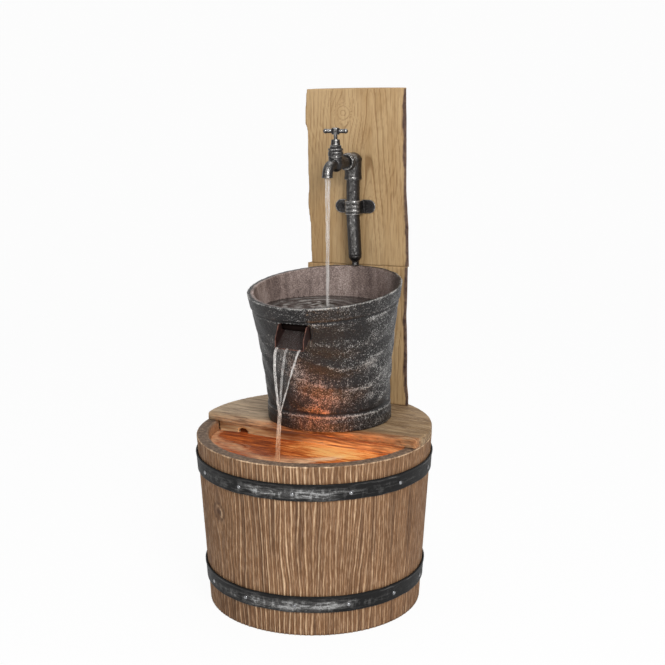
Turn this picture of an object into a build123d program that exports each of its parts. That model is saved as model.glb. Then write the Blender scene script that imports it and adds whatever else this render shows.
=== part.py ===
from build123d import *
import math
import os

# Garden water fountain: a half-barrel basin carrying a half-moon deck, with a
# tilted bucket and a two-part half-log post on the deck and a bib tap over the
# bucket.  Millimetres.  +Z is up, -Y is the front, and the origin is the
# centre of the barrel's foot ring on the ground.

# ---------------------------------------------------------------- barrel tub
TUB_BASE_R = 190.9
TUB_RIM_R = 210.0
TUB_HEIGHT = 306.0
TUB_WALL = 22.8
TUB_FLOOR = 11.0
TUB_EDGE_ROUND = 3.0
FOOT_HEIGHT = 5.0
FOOT_WIDTH = 26.0

HOOP_HEIGHT = 30.0
HOOP_THICK = 2.2
HOOP_BEAD_THICK = 3.1
HOOP_BEAD_HEIGHT = 4.6
HOOP_BEAD_SLOPE = 1.0
UPPER_HOOP_Z = 245.5
LOWER_HOOP_Z = 43.2
LAP_THICK = 1.6
LAP_ARC = 14.0

RIVET_PITCH = 27.0
RIVET_COUNT = 14
RIVET_TURN = 3.2
RIVET_HEAD_R = 3.5
RIVET_HEAD_HEIGHT = 2.1
RIVET_SHANK_R = 1.7
RIVET_LEVEL = 12.5

GROMMET_X = -60.0
GROMMET_WIDTH = 15.0
GROMMET_HEIGHT = 14.0
CABLE_BORE_R = 3.5

DRAIN_HEIGHT = 25.0
DRAIN_HOLE_R = 7.0
DRAIN_FACE_DEPTH = 4.0
DRAIN_HEAD_R = 11.0
DRAIN_HEAD_THICK = 4.0
DRAIN_GRIP_THICK = 3.0
DRAIN_GRIP_LENGTH = 9.0
DRAIN_GRIP_WIDTH = 15.4
DRAIN_SEAL_R = 10.0
DRAIN_SEAL_THICK = 2.0
SLIDE_CLEARANCE = 0.06
SPOT_CLEARANCE = 2.0

# ---------------------------------------------------------------------- deck
DECK_THICK = 16.0
DECK_INSET = 2.5
DECK_X = 2.0
DECK_FRONT_SET = 77.0
DECK_ROUND = 3.0
RIB_THICK = 7.0
RIB_DEPTH = 10.0
RIB_GAP = 1.2
RIB_FROM_Y = 15.0
RIB_TO_Y = 120.0

APRON_SETBACK = 8.0
APRON_THICK = 10.0
APRON_DEPTH = 156.0
APRON_GAP = 1.5
NOTCH_X = -134.0
NOTCH_WIDTH = 18.0
NOTCH_HEIGHT = 12.0
NOTCH_DROP = 10.0

# -------------------------------------------------------------------- bucket
BUCKET_BASE_X = 8.0
BUCKET_BASE_GAP = 3.0
BUCKET_BASE_R = 110.0
BUCKET_RIM_X = 12.0
BUCKET_RIM_GAP = 5.0
BUCKET_RIM_R = 136.2
BUCKET_HEIGHT = 243.6
BUCKET_FLARE_POWER = 1.7
BUCKET_TILT = 6.8
BUCKET_SIDE_TILT = -1.6
BUCKET_WALL = 9.0
BUCKET_MOUTH_SHIFT = 3.5
BUCKET_FLOOR_AT = 0.52
BUCKET_FLOOR_THICK = 12.0
RIM_BAND_HEIGHT = 26.0
RIM_BAND_PROUD = 1.3
BASE_BAND_HEIGHT = 24.0
BASE_BAND_PROUD = 1.5
BUCKET_BOSS_R = 8.0
BUCKET_BOSS_HEIGHT = 30.0
BUCKET_SECTION_COUNT = 6
MOUTH_OVERRUN = 0.06
FOOT_OVERRUN = 0.04

# --------------------------------------------------------------------- chute
CHUTE_OFFSET = 2.0
CHUTE_WIDTH = 55.0
CHUTE_SHEET = 2.0
CHUTE_RIM_DROP = 46.6
CHUTE_STAND = 1.6
CHUTE_RUN = 37.0
CHUTE_DEPTH = 41.0
CHUTE_CREST_DROP = 14.0
CHUTE_CHEEK_HEIGHT = 19.0
CHUTE_CHEEK_SET = 12.0
CHUTE_CUT_REACH = 12.0

# --------------------------------------------------------------------- posts
POST_INSET = 5.0
POST_DEPTH = 45.0
POST_SIDE_SLANT = 6.0
POST_WALL = 9.0
POST_END_THICK = 14.0
SEAM_RISE = 14.4
LOWER_POST_LEFT = -94.5
LOWER_POST_RIGHT = 110.0
UPPER_POST_HEIGHT = 319.0
UPPER_POST_WIDTH = 199.5
UPPER_POST_X = 13.0
UPPER_POST_LEAN = -1.7
UPPER_END_SLOPE = 0.5

# Waney edges: share of the post's height, then how far the left and the right
# edge stand out from the straight board there.
LOWER_EDGES = (
    (0.00, 2.0, 4.5),
    (0.06, 1.5, 4.8),
    (0.15, 0.5, 1.6),
    (0.36, 1.5, 1.0),
    (0.50, 0.0, 0.0),
    (0.63, 1.0, -2.0),
    (0.78, 0.5, -0.3),
    (1.00, 0.0, 0.0),
)
UPPER_EDGES = (
    (0.00, 0.0, 0.0),
    (0.22, -1.0, 0.6),
    (0.35, 3.6, -1.4),
    (0.43, 0.8, -2.4),
    (0.62, 0.3, -1.0),
    (0.77, -0.2, 0.2),
    (0.81, 4.0, 0.5),
    (0.94, 1.2, 1.0),
    (1.00, -1.4, 1.3),
)

DOWEL_R = 5.0
DOWEL_LENGTH = 24.0
DOWEL_FIT = 0.05
DOWEL_SPREAD = 66.0
DOWEL_SETBACK = 19.0

COVER_WIDTH = 96.0
COVER_HEIGHT = 128.0
COVER_THICK = 4.5
COVER_GAP = 0.4
COVER_LEDGE = 9.0
LOWER_COVER_RISE = 70.0
UPPER_COVER_RISE = 120.0

SCREW_HEAD_R = 4.0
SCREW_HEAD_THICK = 2.4
SCREW_SHANK_R = 2.0
SCREW_GRIP = 14.0
COVER_SCREW_GRIP = 7.5
CLIP_SCREW_GRIP = 12.0
POST_SCREW_SPREAD = 45.0
POST_SCREW_SETBACK = 14.0

# ----------------------------------------------------------- pipe and elbow
PIPE_X = 8.1
PIPE_R = 12.3
PIPE_WALL = 2.6
PIPE_SOCKET = 10.0
PIPE_KICK_HEIGHT = 72.0
PIPE_KICK = 4.3
PIPE_BEND_R = 120.0
FOOT_TAPER = 12.0
FOOT_NECK = 6.0
FOOT_NECK_R = 6.5
FOOT_SPIGOT = 10.0
FOOT_CLEARANCE = 1.5

TAP_RISE = 84.0
ELBOW_R = 15.4
ELBOW_COLLAR_R = 16.0
ELBOW_GAP = 0.2
ELBOW_COLLAR = 4.5
ELBOW_DROP = 34.0
ELBOW_REACH = 16.0
ELBOW_BORE_R = 8.0
INLET_BOSS_R = 10.0

CLIP_WIDTH = 80.0
CLIP_OFFSET = 2.1
CLIP_RISE = 16.0
CLIP_HEIGHT = 25.0
CLIP_SHEET = 2.8
CLIP_HOLE_X = 28.0

# ----------------------------------------------------------------------- tap
SPINDLE_REACH = 71.6
NUT_LENGTH = 16.0
NUT_R = 14.6
NUT_RING_R = 15.8
NUT_RING = 3.2
TAIL_R = 10.8
TAIL_BORE_R = 5.0
TAIL_SPIGOT = 10.0
TAP_GLOBE_R = 14.0
TAP_BARREL_R = 12.8
TAP_BARREL_TOP = 14.0
SPOUT_R = 9.4
SPOUT_BORE_R = 5.6
SPOUT_BEND_R = 18.0
SPOUT_REACH = 32.7
SPOUT_DROP = 21.3
NOZZLE_RING_R = 9.9
NOZZLE_RING = 3.0
SEAT_DROP = 1.0
SEAT_PORT_R = 4.5
SEAT_THICK = 3.0
LOWER_CHAMBER_R = 6.5
LOWER_CHAMBER = 5.0
UPPER_CHAMBER_R = 9.5
PASSAGE_R = 3.0
PASSAGE_START = 6.0
PASSAGE_DROP = 2.0
OUTLET_R = 3.8
OUTLET_START = 5.0
OUTLET_RISE = 6.0
OUTLET_END = 4.0

BONNET_R = 13.5
BONNET_HEIGHT = 13.5
BONNET_SPIGOT = 5.0
BONNET_GROOVE = 1.2
BONNET_RING = 3.4
FLANGE_R = 11.6
FLANGE_HEIGHT = 5.5
GLAND_R = 8.6
GLAND_TOP_R = 7.4
GLAND_HEIGHT = 10.0
PACKING_R = 6.5
PACKING_HEIGHT = 5.0
PACKING_SINK = 1.0
SPINDLE_R = 3.5
THREAD_R = 5.5
THREAD_LENGTH = 13.5
SPINDLE_CLEARANCE = 0.05
VALVE_LIFT = 2.05
WASHER_R = 6.8
WASHER_THICK = 3.0
JUMPER_R = 7.2
JUMPER_PLATE = 2.0
JUMPER_PIN_R = 2.4
JUMPER_PIN = 8.0
JUMPER_ROOM = 1.0
JUMPER_GAP = 0.3

HANDLE_RISE = 57.3
HANDLE_LENGTH = 44.0
HANDLE_BAR_R = 3.9
HANDLE_END_R = 4.4
HANDLE_TURN = 19.6
HUB_R = 7.0
HUB_HEIGHT = 12.0
HANDLE_SCREW_R = 3.2
HANDLE_SCREW_SHANK_R = 1.5
HANDLE_SCREW_LENGTH = 11.0
HANDLE_SCREW_HEAD = 1.8
HANDLE_SCREW_SINK = 0.6

# ------------------------------------------------------------ hose and tail
HOSE_SETBACK = 17.0
HOSE_R = 6.5
HOSE_BORE_R = 4.75
HOSE_BEND_R = 180.0
HOSE_TOP_DROP = 20.0
HOSE_BEND_RISE = 6.0
HOSE_STRAIGHT = 104.0
HOSE_HOLE_R = 10.0
HOSE_HOLE_SETBACK = 14.5
TAIL_TIP = 8.0
BARB_DROP = 32.0
BARB_BORE_R = 3.2
TAIL_FLANGE_R = 12.0
TAIL_FLANGE = 3.0
CLAMP_THICK = 1.2
CLAMP_HEIGHT = 8.0
CLAMP_OFFSET = 4.0

# ---------------------------------------------------------------------- pump
PUMP_INSET = 72.9
PUMP_SIZE = 44.0
PUMP_LENGTH = 52.0
PUMP_ROUND = 5.0
PUMP_FRONT = 6.0
CHAMBER_R = 15.0
CHAMBER_DEPTH = 10.0
WELL_R = 8.0
WELL_DEPTH = 36.0
VOLUTE_COVER_THICK = 3.0
VOLUTE_COVER_R = 18.0
INLET_HOLE_R = 2.0
INLET_RING_R = 6.6
INLET_COUNT = 6
SHAFT_R = 1.25
SHAFT_RUN = 0.05
BUSH_R = 3.2
BUSH_LENGTH = 4.0
MAGNET_R = 7.4
MAGNET_START = 0.8
MAGNET_END = 1.5
VANE_R = 12.5
VANE_DISC = 1.5
VANE_HEIGHT = 5.0
VANE_THICK = 1.4
VANE_COUNT = 6
VANE_SINK = 1.0
VANE_LEAN = 25.0
HUB_CORE_R = 3.2
OUTLET_FLANGE_R = 9.0
OUTLET_FLANGE = 4.0
OUTLET_MARGIN = 1.0
OUTLET_BARB = 22.0
BARB_RING = 3.0
SUCTION_FOOT_R = 7.0
SUCTION_FOOT_HEIGHT = 6.0
SUCTION_FOOT_SPREAD = 15.0
SUCTION_CUP = 1.5
SUCTION_LIP = 1.0
SUCTION_STEM_R = 3.5
SUCTION_STUD = 2.5
SUCTION_STUD_HOLE = 3.0
STRAINER_WALL = 2.0
STRAINER_LENGTH = 30.0
STRAINER_OVERLAP = 2.2
STRAINER_FIT = 0.3
SLOT_WIDTH = 2.4
SLOT_HEIGHT = 26.4
SLOT_START = 1.0
SLOT_COUNT = 4
SLOT_PITCH = 5.4
DIAL_R = 9.0
DIAL_THICK = 4.0
DIAL_STEM_R = 3.0
DIAL_GRIP = 3.0
DIAL_GRIP_WIDTH = 14.4
DIAL_GAP = 0.3
DIAL_STEM_TAIL = 3.0
PUMP_GLAND_R = 6.0
PUMP_GLAND = 9.0
PUMP_CABLE_R = 2.6

# ----------------------------------------------------------------------- LED
LED_X = 45.0
LED_Y = -100.0
LED_R = 24.0
LED_HEIGHT = 20.0
LED_LENS_R = 19.0
LED_LENS_DOME = 5.0
LED_LENS_SEAT = 4.0
LED_BEZEL = 3.0
LED_BEZEL_FIT = 0.2
LED_GLAND_RISE = 7.0
LED_GLAND_R = 5.0
LED_GLAND = 8.0

# ------------------------------------------------------------ worked-out ones
CUT_OVERRUN = 1.0
FULL_TURN = 360.0
ON_FLOOR = (Align.CENTER, Align.CENTER, Align.MIN)

TUB_FLOOR_Z = FOOT_HEIGHT + TUB_FLOOR
DECK_TOP = TUB_HEIGHT + DECK_THICK
DECK_R = TUB_RIM_R - DECK_INSET

POST_BACK_R = TUB_RIM_R - POST_INSET
POST_FRONT_Y = POST_BACK_R - POST_DEPTH
POST_SCREW_Y = POST_FRONT_Y + POST_SCREW_SETBACK
DOWEL_Y = POST_FRONT_Y + DOWEL_SETBACK
LOWER_POST_HEIGHT = BUCKET_HEIGHT + SEAM_RISE
SEAM_Z = DECK_TOP + LOWER_POST_HEIGHT

BUCKET_BASE_Y = POST_FRONT_Y - BUCKET_BASE_R - BUCKET_BASE_GAP
DECK_FRONT_Y = BUCKET_BASE_Y - DECK_FRONT_SET
APRON_FRONT_Y = DECK_FRONT_Y + APRON_SETBACK
BUCKET_RIM_Y = POST_FRONT_Y - BUCKET_RIM_R - BUCKET_RIM_GAP
BUCKET_BOSS_RING = BUCKET_BASE_R - BUCKET_WALL - BUCKET_BOSS_R / 2

CHUTE_X = BUCKET_RIM_X + CHUTE_OFFSET
CHUTE_TOP_Z = DECK_TOP + BUCKET_HEIGHT - CHUTE_RIM_DROP
CHUTE_LIP_Y = BUCKET_RIM_Y - BUCKET_RIM_R - CHUTE_STAND
CHUTE_LIP_Z = CHUTE_TOP_Z - CHUTE_DEPTH
CHUTE_CREST_Y = CHUTE_LIP_Y + CHUTE_RUN
CHUTE_CREST_Z = CHUTE_TOP_Z - CHUTE_CREST_DROP
CHUTE_CHEEK_TOP_Y = CHUTE_LIP_Y + CHUTE_CHEEK_SET

PIPE_Y = POST_FRONT_Y - ELBOW_COLLAR_R - ELBOW_GAP
PIPE_END_X = PIPE_X + PIPE_KICK


def bucket_place(share):
    """Seat of the bucket's cross-section at a share of its height."""
    x = BUCKET_BASE_X + (BUCKET_RIM_X - BUCKET_BASE_X) * share
    y = BUCKET_BASE_Y + (BUCKET_RIM_Y - BUCKET_BASE_Y) * share
    z = DECK_TOP + BUCKET_HEIGHT * share
    return Location((x, y, z), (BUCKET_TILT * share, BUCKET_SIDE_TILT * share, 0))


def bucket_mouth_z(x, y):
    """Height of the bucket's rim plane over a point."""
    rim = bucket_place(1)
    normal = Plane(rim).z_dir
    centre = rim.position
    drop = normal.X * (x - centre.X) + normal.Y * (y - centre.Y)
    return centre.Z - drop / normal.Z


PIPE_END_Z = bucket_mouth_z(PIPE_END_X, PIPE_Y) + FOOT_CLEARANCE + FOOT_NECK + FOOT_TAPER
PIPE_BEND_Z = PIPE_END_Z + PIPE_KICK_HEIGHT
CLIP_X = PIPE_X - CLIP_OFFSET
CLIP_Z = PIPE_BEND_Z + CLIP_RISE
TAP_AXIS_Z = CLIP_Z + TAP_RISE

SEAT_Z = TAP_AXIS_Z - SEAT_DROP
BARREL_TOP_Z = TAP_AXIS_Z + TAP_BARREL_TOP
FLANGE_Z = BARREL_TOP_Z + BONNET_HEIGHT
GLAND_Z = FLANGE_Z + FLANGE_HEIGHT
PACKING_Z = GLAND_Z - PACKING_HEIGHT - PACKING_SINK
HANDLE_Z = TAP_AXIS_Z + HANDLE_RISE
SPINDLE_Y = PIPE_Y - SPINDLE_REACH
NUT_BACK_Y = PIPE_Y - ELBOW_REACH
NUT_FRONT_Y = NUT_BACK_Y - NUT_LENGTH
NOZZLE_Y = SPINDLE_Y - SPOUT_REACH

PUMP_Y = TUB_BASE_R - PUMP_INSET
PUMP_Z = TUB_FLOOR_Z + SUCTION_FOOT_HEIGHT + PUMP_SIZE / 2
PUMP_FACE_X = PIPE_X - PUMP_FRONT
PUMP_BACK_X = PUMP_FACE_X + PUMP_LENGTH
PUMP_TOP_Z = PUMP_Z + PUMP_SIZE / 2
WELL_END_X = PUMP_FACE_X + CHAMBER_DEPTH + WELL_DEPTH
STRAINER_X = PUMP_FACE_X - STRAINER_LENGTH

HOSE_Y = POST_FRONT_Y + HOSE_SETBACK
HOSE_HOLE_Y = POST_FRONT_Y + HOSE_HOLE_SETBACK
HOSE_UPPER_BEND_Z = TUB_HEIGHT + HOSE_BEND_RISE
HOSE_LOWER_BEND_Z = PUMP_TOP_Z + HOSE_STRAIGHT


# --------------------------------------------------------------- small helps
def rod(radius, start, end):
    """A cylinder from one point to another."""
    run = Vector(*end) - Vector(*start)
    seat = Plane(origin=start, z_dir=run)
    return seat * Cylinder(radius, run.length, align=ON_FLOOR)


def tube(outer, inner, start, end):
    """A pipe from one point to another."""
    return rod(outer, start, end) - rod(inner, start, end)


def turned(points, arc=FULL_TURN):
    """A solid turned about Z from a closed (radius, height) outline."""
    outline = Plane.XZ * make_face(Polyline(*points, close=True))
    return revolve(outline, Axis.Z, revolution_arc=arc)


def block(low, high):
    """A box between two corners."""
    size = [b - a for a, b in zip(low, high)]
    return Pos(*low) * Box(*size, align=(Align.MIN, Align.MIN, Align.MIN))


def dome(radius, height):
    """A spherical cap that stands on the XY plane."""
    ball_r = (radius ** 2 + height ** 2) / (2 * height)
    ball = Pos(0, 0, height - ball_r) * Sphere(ball_r)
    return ball & Cylinder(radius, height, align=ON_FLOOR)


def screw(head, under_head, grip, direction):
    """A pan-head screw whose head sits on the point under_head."""
    away = Vector(*direction).normalized()
    seat = Vector(*under_head)
    cap = rod(head, tuple(seat), tuple(seat - away * SCREW_HEAD_THICK))
    shank = rod(SCREW_SHANK_R, tuple(seat), tuple(seat + away * grip))
    return cap + shank


# -------------------------------------------------------------------- barrel
def tub_r(z):
    return TUB_BASE_R + (TUB_RIM_R - TUB_BASE_R) * z / TUB_HEIGHT


def tub_inner_r(z):
    return tub_r(z) - TUB_WALL


def make_tub_shell():
    foot_inner = TUB_BASE_R - FOOT_WIDTH
    shell = turned([
        (0, FOOT_HEIGHT),
        (foot_inner, FOOT_HEIGHT),
        (foot_inner, 0),
        (TUB_BASE_R, 0),
        (TUB_RIM_R, TUB_HEIGHT),
        (tub_inner_r(TUB_HEIGHT), TUB_HEIGHT),
        (tub_inner_r(TUB_FLOOR_Z), TUB_FLOOR_Z),
        (0, TUB_FLOOR_Z),
    ])
    rim_edges = shell.edges().filter_by(GeomType.CIRCLE).group_by(Axis.Z)[-1]
    return fillet(rim_edges, TUB_EDGE_ROUND)


def grommet_block():
    return block(
        (GROMMET_X - GROMMET_WIDTH / 2, 0, TUB_HEIGHT - GROMMET_HEIGHT),
        (GROMMET_X + GROMMET_WIDTH / 2, TUB_RIM_R + CUT_OVERRUN, TUB_HEIGHT),
    )


def drain_face_y():
    return tub_r(DRAIN_HEIGHT) - DRAIN_FACE_DEPTH


def make_barrel_tub():
    """The basin: a tapered shell on a foot ring, with its drain and notch."""
    spot_r = DRAIN_HEAD_R + SPOT_CLEARANCE
    centre = (0, drain_face_y(), DRAIN_HEIGHT)
    outside = (0, tub_r(DRAIN_HEIGHT) + spot_r, DRAIN_HEIGHT)
    inside = (0, tub_inner_r(DRAIN_HEIGHT) - spot_r, DRAIN_HEIGHT)
    shell = make_tub_shell() - grommet_block()
    shell -= rod(DRAIN_HOLE_R, inside, outside)
    return shell - rod(spot_r, centre, outside)


def make_cable_grommet():
    """Rubber block in the rim notch, with the bore for the mains cable."""
    bore_z = TUB_HEIGHT - GROMMET_HEIGHT / 2
    end = (GROMMET_X, TUB_RIM_R + CUT_OVERRUN, bore_z)
    bore = rod(CABLE_BORE_R, (GROMMET_X, 0, bore_z), end)
    return (make_tub_shell() & grommet_block()) - bore


def rivet_turns():
    """Angles from the front, towards +X; the last and first share the lap."""
    first = FULL_TURN / 2 + RIVET_TURN + (FULL_TURN - RIVET_PITCH * (RIVET_COUNT - 1)) / 2
    return [first + RIVET_PITCH * k for k in range(RIVET_COUNT)]


def on_lap(turn):
    off_rear = abs((turn - RIVET_TURN) % FULL_TURN - FULL_TURN / 2)
    return off_rear < LAP_ARC / 2


def hoop_face(turn, hoop_z):
    """The plane that lies on the hoop's outside where a rivet stands."""
    z = hoop_z + RIVET_LEVEL
    thick = HOOP_THICK + (LAP_THICK if on_lap(turn) else 0)
    angle = math.radians(turn)
    taper = math.atan2(TUB_RIM_R - TUB_BASE_R, TUB_HEIGHT)
    outward = Vector(math.sin(angle), -math.cos(angle), 0)
    normal = outward * math.cos(taper) - Vector(0, 0, 1) * math.sin(taper)
    point = outward * tub_r(z) + Vector(0, 0, z) + normal * thick
    return Plane(origin=tuple(point), z_dir=tuple(normal)), thick


def make_rivet(length):
    shank = Pos(0, 0, -length) * Cylinder(RIVET_SHANK_R, length, align=ON_FLOOR)
    return dome(RIVET_HEAD_R, RIVET_HEAD_HEIGHT) + shank


def make_hoop(hoop_z):
    """A riveted iron band that follows the tub's taper, lapped at the rear."""
    top = hoop_z + HOOP_HEIGHT
    bead = top - HOOP_BEAD_HEIGHT
    slope = bead + HOOP_BEAD_SLOPE
    band = turned([
        (tub_r(hoop_z), hoop_z),
        (tub_r(hoop_z) + HOOP_THICK, hoop_z),
        (tub_r(bead) + HOOP_THICK, bead),
        (tub_r(slope) + HOOP_BEAD_THICK, slope),
        (tub_r(top) + HOOP_BEAD_THICK, top),
        (tub_r(top), top),
    ])
    lap = turned([
        (tub_r(hoop_z), hoop_z),
        (tub_r(hoop_z) + HOOP_THICK + LAP_THICK, hoop_z),
        (tub_r(bead) + HOOP_THICK + LAP_THICK, bead),
        (tub_r(bead), bead),
    ], LAP_ARC)
    rear = FULL_TURN / 4 + RIVET_TURN - LAP_ARC / 2
    hoop = band + Rot(0, 0, rear) * lap
    for turn in rivet_turns():
        face, thick = hoop_face(turn, hoop_z)
        hoop -= face * Pos(0, 0, -thick) * Cylinder(RIVET_SHANK_R, thick, align=ON_FLOOR)
    return hoop


def make_hoop_rivets():
    rivets = []
    for hoop_z in (LOWER_HOOP_Z, UPPER_HOOP_Z):
        for turn in rivet_turns():
            face, thick = hoop_face(turn, hoop_z)
            rivets.append(face * make_rivet(thick))
    return Compound(rivets)


def make_drain_plug():
    """Threadless push-in bung with a grip tab."""
    face = drain_face_y() + DRAIN_SEAL_THICK
    back = face + DRAIN_HEAD_THICK
    inner = tub_inner_r(DRAIN_HEIGHT)
    stem_r = DRAIN_HOLE_R - SLIDE_CLEARANCE
    stem = rod(stem_r, (0, inner, DRAIN_HEIGHT), (0, face, DRAIN_HEIGHT))
    head = rod(DRAIN_HEAD_R, (0, face, DRAIN_HEIGHT), (0, back, DRAIN_HEIGHT))
    half = DRAIN_GRIP_WIDTH / 2
    grip = block(
        (-half, back, DRAIN_HEIGHT - DRAIN_GRIP_THICK / 2),
        (half, back + DRAIN_GRIP_LENGTH, DRAIN_HEIGHT + DRAIN_GRIP_THICK / 2),
    )
    return stem + head + grip


def make_drain_seal():
    face = drain_face_y()
    start = (0, face, DRAIN_HEIGHT)
    end = (0, face + DRAIN_SEAL_THICK, DRAIN_HEIGHT)
    return tube(DRAIN_SEAL_R, DRAIN_HOLE_R, start, end)


# ---------------------------------------------------------------------- deck
def bucket_boss_turns():
    return [FULL_TURN / 4 + FULL_TURN * k / 3 for k in range(3)]


def bucket_boss_points():
    """Three fixing points on a ring inside the bucket's foot."""
    points = []
    for turn in bucket_boss_turns():
        x = BUCKET_BASE_X + BUCKET_BOSS_RING * math.cos(math.radians(turn))
        y = BUCKET_BASE_Y + BUCKET_BOSS_RING * math.sin(math.radians(turn))
        points.append((x, y))
    return points


def post_screw_xs():
    return [PIPE_X - POST_SCREW_SPREAD, PIPE_X + POST_SCREW_SPREAD]


def deck_screw_points():
    return bucket_boss_points() + [(x, POST_SCREW_Y) for x in post_screw_xs()]


def make_deck_board():
    """Half-moon board on the rim, with locating ribs inside the tub."""
    outline = Pos(DECK_X, 0) * Circle(DECK_R)
    front = Rectangle(4 * DECK_R, 2 * DECK_R, align=(Align.CENTER, Align.MAX))
    outline -= Pos(0, DECK_FRONT_Y) * front
    board = Pos(0, 0, TUB_HEIGHT) * extrude(outline, DECK_THICK)
    board = fillet(board.edges().group_by(Axis.Z)[-1], DECK_ROUND)
    outer = tub_inner_r(TUB_HEIGHT - RIB_DEPTH) - RIB_GAP
    low = TUB_HEIGHT - RIB_DEPTH
    ring = tube(outer, outer - RIB_THICK, (0, 0, low), (0, 0, TUB_HEIGHT))
    rear = block((-DECK_R, RIB_FROM_Y, low), (DECK_R, RIB_TO_Y, TUB_HEIGHT))
    board += ring & rear
    for x, y in deck_screw_points():
        board -= rod(SCREW_SHANK_R, (x, y, TUB_HEIGHT), (x, y, DECK_TOP))
    hose = (PIPE_X, HOSE_HOLE_Y, TUB_HEIGHT)
    return board - rod(HOSE_HOLE_R, hose, (PIPE_X, HOSE_HOLE_Y, DECK_TOP))


def make_deck_apron():
    """Upright board under the deck's front edge, with its return notch."""
    low = TUB_HEIGHT - APRON_DEPTH
    board = block(
        (-TUB_RIM_R, APRON_FRONT_Y, low),
        (TUB_RIM_R, APRON_FRONT_Y + APRON_THICK, TUB_HEIGHT),
    )
    room = turned([
        (0, low),
        (tub_inner_r(low) - APRON_GAP, low),
        (tub_inner_r(TUB_HEIGHT) - APRON_GAP, TUB_HEIGHT),
        (0, TUB_HEIGHT),
    ])
    notch_z = TUB_HEIGHT - NOTCH_DROP - NOTCH_HEIGHT / 2
    slot = Plane.XZ * Pos(NOTCH_X, notch_z) * SlotOverall(NOTCH_WIDTH, NOTCH_HEIGHT)
    notch = Pos(0, APRON_FRONT_Y - CUT_OVERRUN, 0) * extrude(slot, -(APRON_THICK + 2 * CUT_OVERRUN))
    return (board & room) - notch


# -------------------------------------------------------------------- bucket
def bucket_r(share):
    flare = max(share, 0) ** BUCKET_FLARE_POWER
    return BUCKET_BASE_R + (BUCKET_RIM_R - BUCKET_BASE_R) * flare


def bucket_loft(shares, grow, shift=0.0):
    """A smooth body through cross-sections, grown by a radial amount."""
    sections = []
    for share in shares:
        sections.append(bucket_place(share) * Pos(shift, 0) * Circle(bucket_r(share) + grow))
    return loft(sections)


def steps(low, high, count):
    return [low + (high - low) * k / count for k in range(count + 1)]


def chute_floor_z(y):
    slope = (CHUTE_CREST_Z - CHUTE_LIP_Z) / (CHUTE_CREST_Y - CHUTE_LIP_Y)
    return CHUTE_LIP_Z + slope * (y - CHUTE_LIP_Y)


def chute_slab(outline, width):
    """A plate of the chute's side outline (y, z), centred on the chute."""
    side = Plane.YZ * make_face(Polyline(*outline, close=True))
    return Pos(CHUTE_X - width / 2, 0, 0) * extrude(side, width)


def make_bucket():
    """Flared, forward-leaning pail with rim and foot bands and a chute slot."""
    rim_from = 1 - RIM_BAND_HEIGHT / BUCKET_HEIGHT
    base_to = BASE_BAND_HEIGHT / BUCKET_HEIGHT
    pail = bucket_loft(steps(0, 1, BUCKET_SECTION_COUNT), 0)
    pail += bucket_loft([rim_from, (1 + rim_from) / 2, 1], RIM_BAND_PROUD)
    pail += bucket_loft([0, base_to], BASE_BAND_PROUD)
    room = steps(BUCKET_FLOOR_AT, 1 + MOUTH_OVERRUN, BUCKET_SECTION_COUNT)
    pail -= bucket_loft(room, -BUCKET_WALL, BUCKET_MOUTH_SHIFT)
    hollow_top = BUCKET_FLOOR_AT - BUCKET_FLOOR_THICK / BUCKET_HEIGHT
    pail -= bucket_loft(steps(-FOOT_OVERRUN, hollow_top, BUCKET_SECTION_COUNT), -BUCKET_WALL)
    for x, y in bucket_boss_points():
        pail += rod(BUCKET_BOSS_R, (x, y, DECK_TOP), (x, y, DECK_TOP + BUCKET_BOSS_HEIGHT))
        pail -= rod(SCREW_SHANK_R, (x, y, DECK_TOP), (x, y, DECK_TOP + SCREW_GRIP))
    outer_y = CHUTE_LIP_Y - CHUTE_CUT_REACH
    inner_y = CHUTE_CREST_Y + CHUTE_CUT_REACH
    slot = chute_slab([
        (outer_y, chute_floor_z(outer_y)),
        (inner_y, chute_floor_z(inner_y)),
        (inner_y, CHUTE_TOP_Z),
        (outer_y, CHUTE_TOP_Z),
    ], CHUTE_WIDTH)
    return pail - slot


def make_spout_chute():
    """Folded copper scoop: a steep floor between two cheeks."""
    lip_top = CHUTE_LIP_Z + CHUTE_CHEEK_HEIGHT
    cheek = [
        (CHUTE_LIP_Y, CHUTE_LIP_Z),
        (CHUTE_CREST_Y, CHUTE_CREST_Z),
        (CHUTE_CREST_Y, CHUTE_TOP_Z),
        (CHUTE_CHEEK_TOP_Y, CHUTE_TOP_Z),
        (CHUTE_LIP_Y, lip_top),
    ]
    scoop = chute_slab(cheek, CHUTE_WIDTH)
    front = CHUTE_LIP_Y - CUT_OVERRUN
    rear = CHUTE_CREST_Y + CUT_OVERRUN
    room = [
        (front, chute_floor_z(front) + CHUTE_SHEET),
        (rear, chute_floor_z(rear) + CHUTE_SHEET),
        (rear, CHUTE_TOP_Z + CUT_OVERRUN),
        (front, CHUTE_TOP_Z + CUT_OVERRUN),
    ]
    return scoop - chute_slab(room, CHUTE_WIDTH - 2 * CHUTE_SHEET)


# --------------------------------------------------------------------- posts
def post_section(left, right, inset=0.0):
    """Half-log outline: flat face, slanted bark sides and a round back."""
    back_r = POST_BACK_R - inset
    x_left = left + POST_SIDE_SLANT + inset
    x_right = right - POST_SIDE_SLANT - inset
    x_mid = (x_left + x_right) / 2

    def on_back(x):
        return (x, math.sqrt(back_r ** 2 - x ** 2))

    front_y = POST_FRONT_Y + inset
    sides = Polyline(
        on_back(x_left), (left + inset, front_y), (right - inset, front_y), on_back(x_right)
    )
    back = ThreePointArc(on_back(x_right), on_back(x_mid), on_back(x_left))
    return make_face(sides + back)


def post_loft(left, right, height, edges):
    sections = []
    for share, out_left, out_right in edges:
        outline = post_section(left - out_left, right + out_right)
        sections.append(Pos(0, 0, height * share) * outline)
    return loft(sections, ruled=True)


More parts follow.
